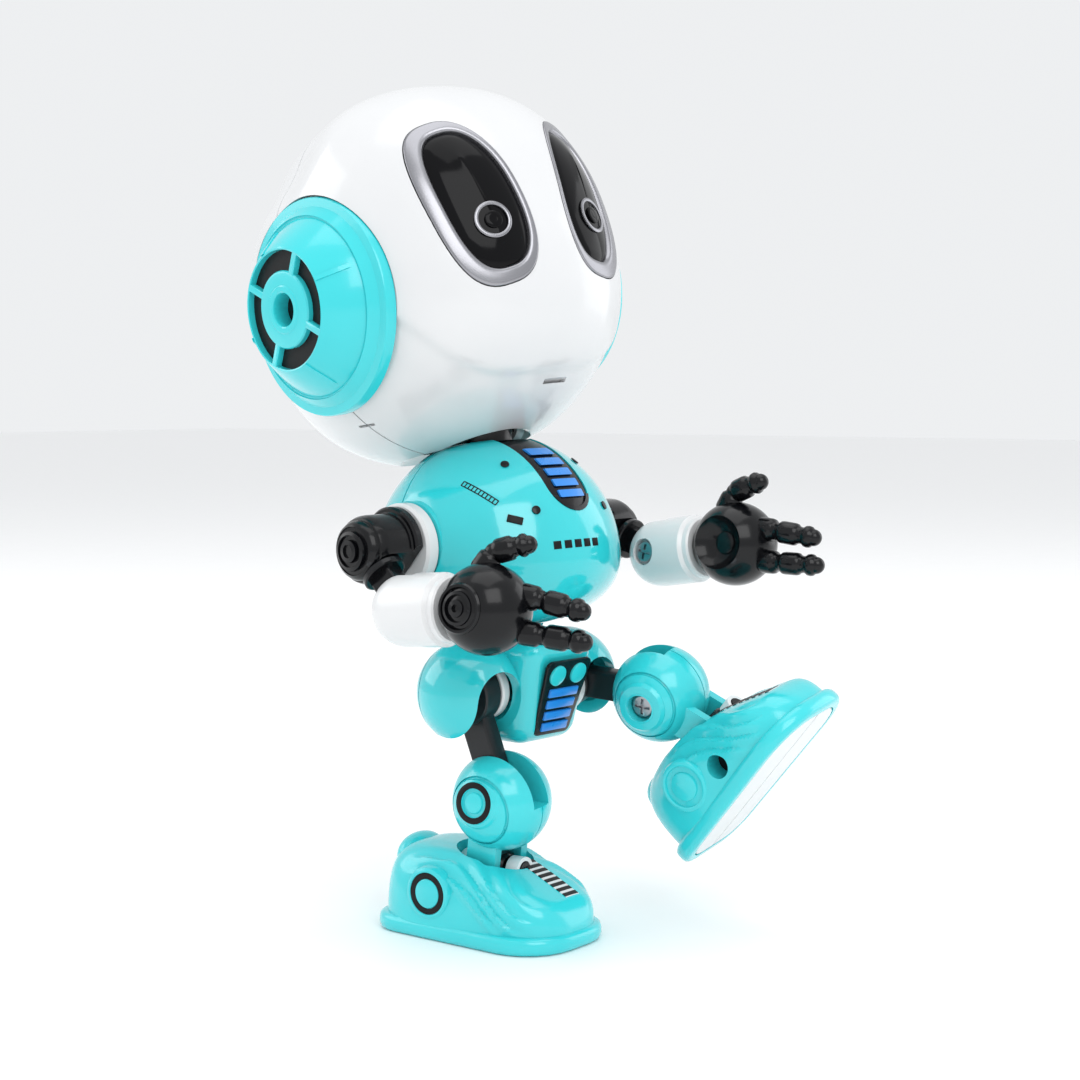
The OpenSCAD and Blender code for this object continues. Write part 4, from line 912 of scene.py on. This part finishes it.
def shin(head, boss_tilt):
    """Both halves of a knee ball; the screw's side is head (1 for +X)."""
    body = put(ball(KNEE_R, 112, 70), turn(90, Y))
    for s in (-1, 1):
        lug = join(put(rod(2.4, -0.7, 0.7, "x", 48, 0.15), move(s * 3.1, 0, -SHIN)),
                   block((s * 3.1 - 0.7, -2.4, -SHIN), (s * 3.1 + 0.7, 2.4, -4)))
        body = join(body, lug)
    boss = lathe([(0, 4.6), (3.7, 4.6), (3.7, 5.7), (3.35, 6.35), (2.95, 6.6), (2.85, 6.95), (2.0, 6.98),
                  (1.95, 6.7), (1.5, 6.7), (1.35, 7.0), (0.8, 7.1), (0, 7.12)], 64, "x")
    body = join(body, put(boss, turn(boss_tilt, Y) @ turn(180, Z)) if head > 0 else boss)
    rim = lathe([(1.9, 4.9), (3.6, 4.9), (3.6, 6.0), (3.2, 6.5), (2.2, 6.6), (1.9, 6.3), (1.9, 4.9)], 64, "x")
    body = join(body, rim if head > 0 else put(rim, turn(180, Z)))
    counterbore = rod(1.9, 4.9, 9, "x") if head > 0 else rod(1.9, -9, -4.9, "x")
    body = cut(body, counterbore, cut(rod(3.65, -1.65, 1.65, "x", 64), rod(1.5, -3, 3, "x")),
               wedge(KNEE_R + 2, 11, 169, 1.65))
    body = cut(body, cut(block((-0.09, -20, -20), (0.09, 20, 20)), ball(KNEE_R - 0.25, 72, 44)))
    for s in (-1, 1):
        for start in (20, 200):
            arc = cut(on_side(lathe([(4.45, 0), (4.8, 0), (4.8, 9), (4.45, 9), (4.45, 0)], 64, "x"), s),
                      put(block((-12, -12, 0.0), (12, 12, 12)), turn(start, X)), ball(KNEE_R - 0.26, 72, 44))
            body = cut(body, arc)
        body = join(body, raised_ring((s * 0.54, -0.6, 0.64)), raised_ring((s * 0.5, -0.85, -0.06)))
    return body


BOSS_TILT = {"right": 13, "left": 0}
for name, bush_at, thigh_at, shin_at, inner in (("right", BUSH_R, THIGH_R, SHIN_R, 1),
    ("left", BUSH_L, THIGH_L, SHIN_L, -1)):
    place("hip_bearing_" + name, bush(inner), bush_at, "hip_" + name, WHITE_PLASTIC, "hip_%s_bush" % name)
    place("thigh_bar_" + name, thigh_link(), thigh_at, "thigh_" + name, BLACK_METAL, "thigh_%s_link" % name)
    place("knee_ball_" + name, shin(inner, BOSS_TILT[name]), shin_at, "shin_" + name, TURQUOISE_PLASTIC,
          ("shin_%s_outer" % name, "shin_%s_inner" % name), shade=28)
    place("knee_screw_head_" + name, screw(1.7, 0.9, 0.45, 0.8, 9),
          shin_at @ turn(90 * inner, Y) @ move(0, 0, 5.0), "shin_" + name, STEEL, "shin_%s_screw" % name)
ring = lathe([(2.0, 6.6), (2.85, 6.6), (2.85, 7.0), (2.75, 7.06), (2.05, 7.06), (2.0, 7.0), (2.0, 6.6)], 64,
             "x")
place("knee_ring_right", put(ring, turn(BOSS_TILT["right"], Y) @ turn(180, Z)), SHIN_R, "shin_right",
      PRINT_BLACK)


# ---- feet -------------------------------------------------------------------------------------------
def sole_plate(grow, low, high, edge=0.0):
    half_w, half_l = SOLE_W / 2, SOLE_L / 2
    outline = round_corners([(half_w - 6.6, half_l - 5.6, 5.6 + grow, 0),
                             (6.6 - half_w, half_l - 5.6, 5.6 + grow, 90),
                             (7.4 - half_w, 7.4 - half_l, 7.4 + grow, 180),
                             (half_w - 7.4, 7.4 - half_l, 7.4 + grow, 270)])
    bm = prism(outline, low, high)
    return soften(bm, edge, 50, 3) if edge else bm


SHOE_END, SHOE_FLOOR = 15.05, RIM_T - 0.6


def shoe_section(y):
    """Half width and top height of the upper at a place along the foot; the toe is at -Y."""
    half = 9.0 * (1 - min(abs(y) / (SHOE_END + 0.1), 1) ** 4) ** 0.4
    instep = 5.9 + 0.488 * (y + 14.5)
    heel = 6 + 7.2 * math.sqrt(max(1 - (max(y - 7, 0) / 8.3) ** 2, 0))
    top = -math.log(math.exp(-instep) + math.exp(-heel) + math.exp(-13.3))
    toe = math.sqrt(max(1 - (max(-12.9 - y, 0) / 2.25) ** 2, 0))
    return half, SHOE_FLOOR + (top - SHOE_FLOOR) * toe


def flame(y, z, side):
    """Height of the overlapping waves that sweep from the ankle down towards the toe."""
    sweep = z - 2.6 - 8.4 * smooth_step((y + 13) / 15)
    share = sweep / 1.9
    ramp = share - math.floor(share)
    fade = smooth_step((sweep + 4.4) / 1.6) * smooth_step((9 - y) / 4) * smooth_step((y + 13) / 3)
    fade *= smooth_step((side - 0.18) / 0.3)
    return 0.55 * fade * (smooth_step(ramp / 0.78) if ramp < 0.78 else 1 - smooth_step((ramp - 0.78) / 0.22))


def shoe_form():
    """Upper lofted from toe to heel, with the waves raised on its sides."""
    bm = bmesh.new()
    loops, stations, steps = [], 84, 160
    for i in range(stations + 1):
        y = -SHOE_END * math.cos(math.pi * i / stations)
        half, top = shoe_section(y)
        made = bmesh.ops.create_circle(bm, cap_ends=False, segments=steps, radius=1)["verts"]
        boxy = smooth_step((-y - 3) / 9)
        for j, v in enumerate(made):
            a = 2 * math.pi * j / steps
            c, s = math.cos(a), math.sin(a)
            x = math.copysign(abs(c) ** (0.58 - 0.12 * boxy), c) * half
            z = SHOE_FLOOR + (top - SHOE_FLOOR) * (max(s, 0) ** (0.8 - 0.2 * boxy))
            if s > 0.02:
                out = Vector((x / half ** 2, 0, (z - SHOE_FLOOR) / (top - SHOE_FLOOR
                    + 0.01) ** 2)).normalized()
                lift = flame(y, z, abs(c)) * min(1, (z - SHOE_FLOOR) / 2)
                x, z = x + out.x * lift, z + out.z * lift
            v.co = (x, y, z)
        loops.append([bm.edges.get((p, q)) for p, q in zip(made, made[1:] + made[:1])])
    for a, b in zip(loops, loops[1:]):
        bmesh.ops.bridge_loops(bm, edges=a + b)
    close_holes(bm)
    bmesh.ops.recalc_face_normals(bm, faces=bm.faces)
    return bm


def ankle_cups(pitches):
    """The knee ball's places over the ankle's pitch, one ball each."""
    return [put(ball(KNEE_R + GAP + 0.2, 64, 40), move(0, -ANKLE_FWD, ANKLE_Z) @ turn(pitch, X)
                @ move(side, 0, SHIN)) for pitch in pitches for side in (-1.3, 1.3)]


BOSS_AT, PORT_AT = move(0, 4.0, 6.5), move(0, -2.2, 4.6)
PITCHES = {"right": (5, 12, 19), "left": (-27, -19, -11, -3, 4)}


def shoe(pitches):
    """Upper, sole rim, heel lobe and side bosses in one shell over the well for the sole."""
    body = cut(shoe_form(), *ankle_cups(pitches))
    lobe = put(ball(2.7, 48, 30), move(0, 12.2, 9.6) @ Matrix.Diagonal((1.7, 1, 1.15, 1)))
    body = join(body, lobe, sole_plate(0, 0, RIM_T, 0.85))
    for s in (-1, 1):
        stub = lathe([(0, 4), (4.0, 4), (3.75, 8.6), (3.55, 9.0), (3.2, 9.15), (2.95, 9.1), (2.85, 8.8),
                      (2.1, 8.8), (2.0, 9.1), (1.8, 9.2), (0, 9.2)], 64, "x")
        body = join(body, on_side(put(stub, BOSS_AT), s))
    well = sole_plate(-1.75, -1, 1.75)
    ankle_hole = put(rod(5.4, 1, 16, steps=64), move(0, -ANKLE_FWD))
    return cut(body, well, ankle_hole, put(rod(1.7, 5, 12, "x", 40), PORT_AT))


def sole():
    pad = sole_plate(-1.95, 0, 1.2, 0.15)
    pad = cut(pad, block((-0.22, -20, -1), (0.22, 20, 0.3)))
    for s in (-1, 1):
        lug = join(put(rod(1.9, -1, 1, "y", 40), move(0, s * 4.1 - ANKLE_FWD, ANKLE_Z)),
                   block((-1.9, s * 4.1 - 1 - ANKLE_FWD, 1.0), (1.9, s * 4.1 + 1 - ANKLE_FWD, ANKLE_Z)))
        pad = join(pad, lug)
    return cut(pad, put(rod(1.35, -10, 10, "y"), move(0, 0, ANKLE_Z)))


def cross():
    core = keep(block((-2.15, -2.5, -2.2), (2.15, 2.5, 2.2), 0.3), ball(3.1))
    return join(core, rod(1.2, -5.2, 5.2, "y"), rod(1.2, -3.8, 3.8, "x"))


def shoe_top(x, y):
    """Height of the upper above a point of the sole."""
    half, top = shoe_section(y)
    boxy = smooth_step((-y - 3) / 9)
    c = min(abs(x) / half, 0.98) ** (1 / (0.58 - 0.12 * boxy))
    return SHOE_FLOOR + (top - SHOE_FLOOR) * (1 - c * c) ** (0.4 - 0.1 * boxy)


def toe_strip(low, high, reach):
    """Thin plate that follows the toe's slope between two places along the foot."""
    plate = block((0.1, low, -0.35), (3.1, high, reach))
    along = [e for e in plate.edges if abs(e.verts[0].co.y - e.verts[1].co.y) > 0.1]
    bmesh.ops.subdivide_edges(plate, edges=along, cuts=max(int((high - low) / 0.5), 1), use_grid_fill=True)
    across = [e for e in plate.edges if abs(e.verts[0].co.x - e.verts[1].co.x) > 0.1]
    bmesh.ops.subdivide_edges(plate, edges=across, cuts=4, use_grid_fill=True)
    for v in plate.verts:
        v.co.z += shoe_top(v.co.x, v.co.y)
    return plate


for name, foot_at, ankle_at in (("right", FOOT_R, ANKLE_R), ("left", FOOT_L @ FLIP, ANKLE_L)):
    place("shoe_" + name, shoe(PITCHES[name]), foot_at, "foot_" + name, TURQUOISE_PLASTIC,
          "foot_%s_shell" % name, shade=34)
    place("sole_" + name, sole(), foot_at, "foot_" + name, SOLE_PAD, "foot_%s_sole" % name)
    place("ankle_joint_" + name, cross(), ankle_at, "ankle_" + name, BLACK_PLASTIC, "ankle_%s_cross" % name)
    place("toe_strip_" + name, toe_strip(-13.0, -5.2, 0.06), foot_at, "foot_" + name, WHITE_PLASTIC)
    bars = [toe_strip(-12.9 + 1.02 * i, -12.35 + 1.02 * i, 0.12) for i in range(8)]
    place("toe_bars_" + name, together(*bars), foot_at, "foot_" + name, PRINT_BLACK)
    place("shoe_port_" + name, put(rod(1.68, 5.0, 5.6, "x", 40), PORT_AT), foot_at, "foot_" + name,
          PRINT_BLACK)
    if name == "right":
        band = [(2.1, 8.7), (2.85, 8.7), (2.85, 9.1), (2.1, 9.1), (2.1, 8.7)]
        rings = [on_side(put(lathe(band, 64, "x"), BOSS_AT), s) for s in (-1, 1)]
        place("shoe_rings_" + name, together(*rings), foot_at, "foot_" + name, PRINT_BLACK)

CAD_FINISHES = {"head_chassis": WHITE_PLASTIC, "speaker": BLACK_PLASTIC, "circuit_board": BOARD_GREEN,
                "button_cells": STEEL}
for node_name, material in CAD_FINISHES.items():
    for material_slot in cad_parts[node_name].material_slots:
        material_slot.material = material


# ---- studio ------------------------------------------------------------------------------------------
def studio():
    ground = bmesh.new()
    bmesh.ops.create_grid(ground, x_segments=2, y_segments=2, size=3)
    mesh = bpy.data.meshes.new("floor")
    ground.to_mesh(mesh)
    ground.free()
    mesh.materials.append(finish("floor_pale", (0.93, 0.93, 0.93), (0.96, 0.96, 0.96), 0.55,
        grain=(0.004, 0.05)))
    floor = bpy.data.objects.new("floor", mesh)
    bpy.context.scene.collection.objects.link(floor)
    world = bpy.data.worlds.new("studio")
    world.use_nodes = True
    world.node_tree.nodes["Background"].inputs["Color"].default_value = (0.97, 0.985, 1.0, 1)
    world.node_tree.nodes["Background"].inputs["Strength"].default_value = 0.88
    bpy.context.scene.world = world


def softbox(name, at, aim, power, size, tint=(1, 1, 1)):
    data = bpy.data.lights.new(name, "AREA")
    data.energy, data.shape, data.size, data.size_y, data.color = power, "RECTANGLE", size[0], size[1], tint
    light = bpy.data.objects.new(name, data)
    light.location = at
    light.rotation_euler = (Vector(aim) - Vector(at)).to_track_quat("-Z", "Y").to_euler()
    bpy.context.scene.collection.objects.link(light)


def camera():
    target = Vector((0.00365, -0.00602, 0.055))
    az, el = math.radians(-54), math.radians(4)
    away = Vector((math.sin(az) * math.cos(el), -math.cos(az) * math.cos(el), math.sin(el)))
    data = bpy.data.cameras.new("camera")
    data.lens, data.sensor_width, data.clip_start, data.clip_end = 70, 36, 0.01, 20
    eye = bpy.data.objects.new("camera", data)
    eye.location = target + away * 0.29
    eye.rotation_euler = (-away).to_track_quat("-Z", "Y").to_euler()
    bpy.context.scene.collection.objects.link(eye)
    bpy.context.scene.camera = eye


studio()
middle = (0, 0, 0.06)
softbox("key", (-0.35, -0.55, 0.55), middle, 2.2, (0.5, 0.5))
softbox("overhead", (0.0, 0.0, 0.75), middle, 1.5, (0.6, 0.6))
softbox("fill", (0.6, -0.35, 0.25), middle, 0.8, (0.4, 0.5), (0.97, 0.98, 1))
softbox("back", (-0.25, 0.6, 0.35), middle, 1.1, (0.5, 0.4))
camera()
bpy.context.scene.view_settings.view_transform = "Standard"
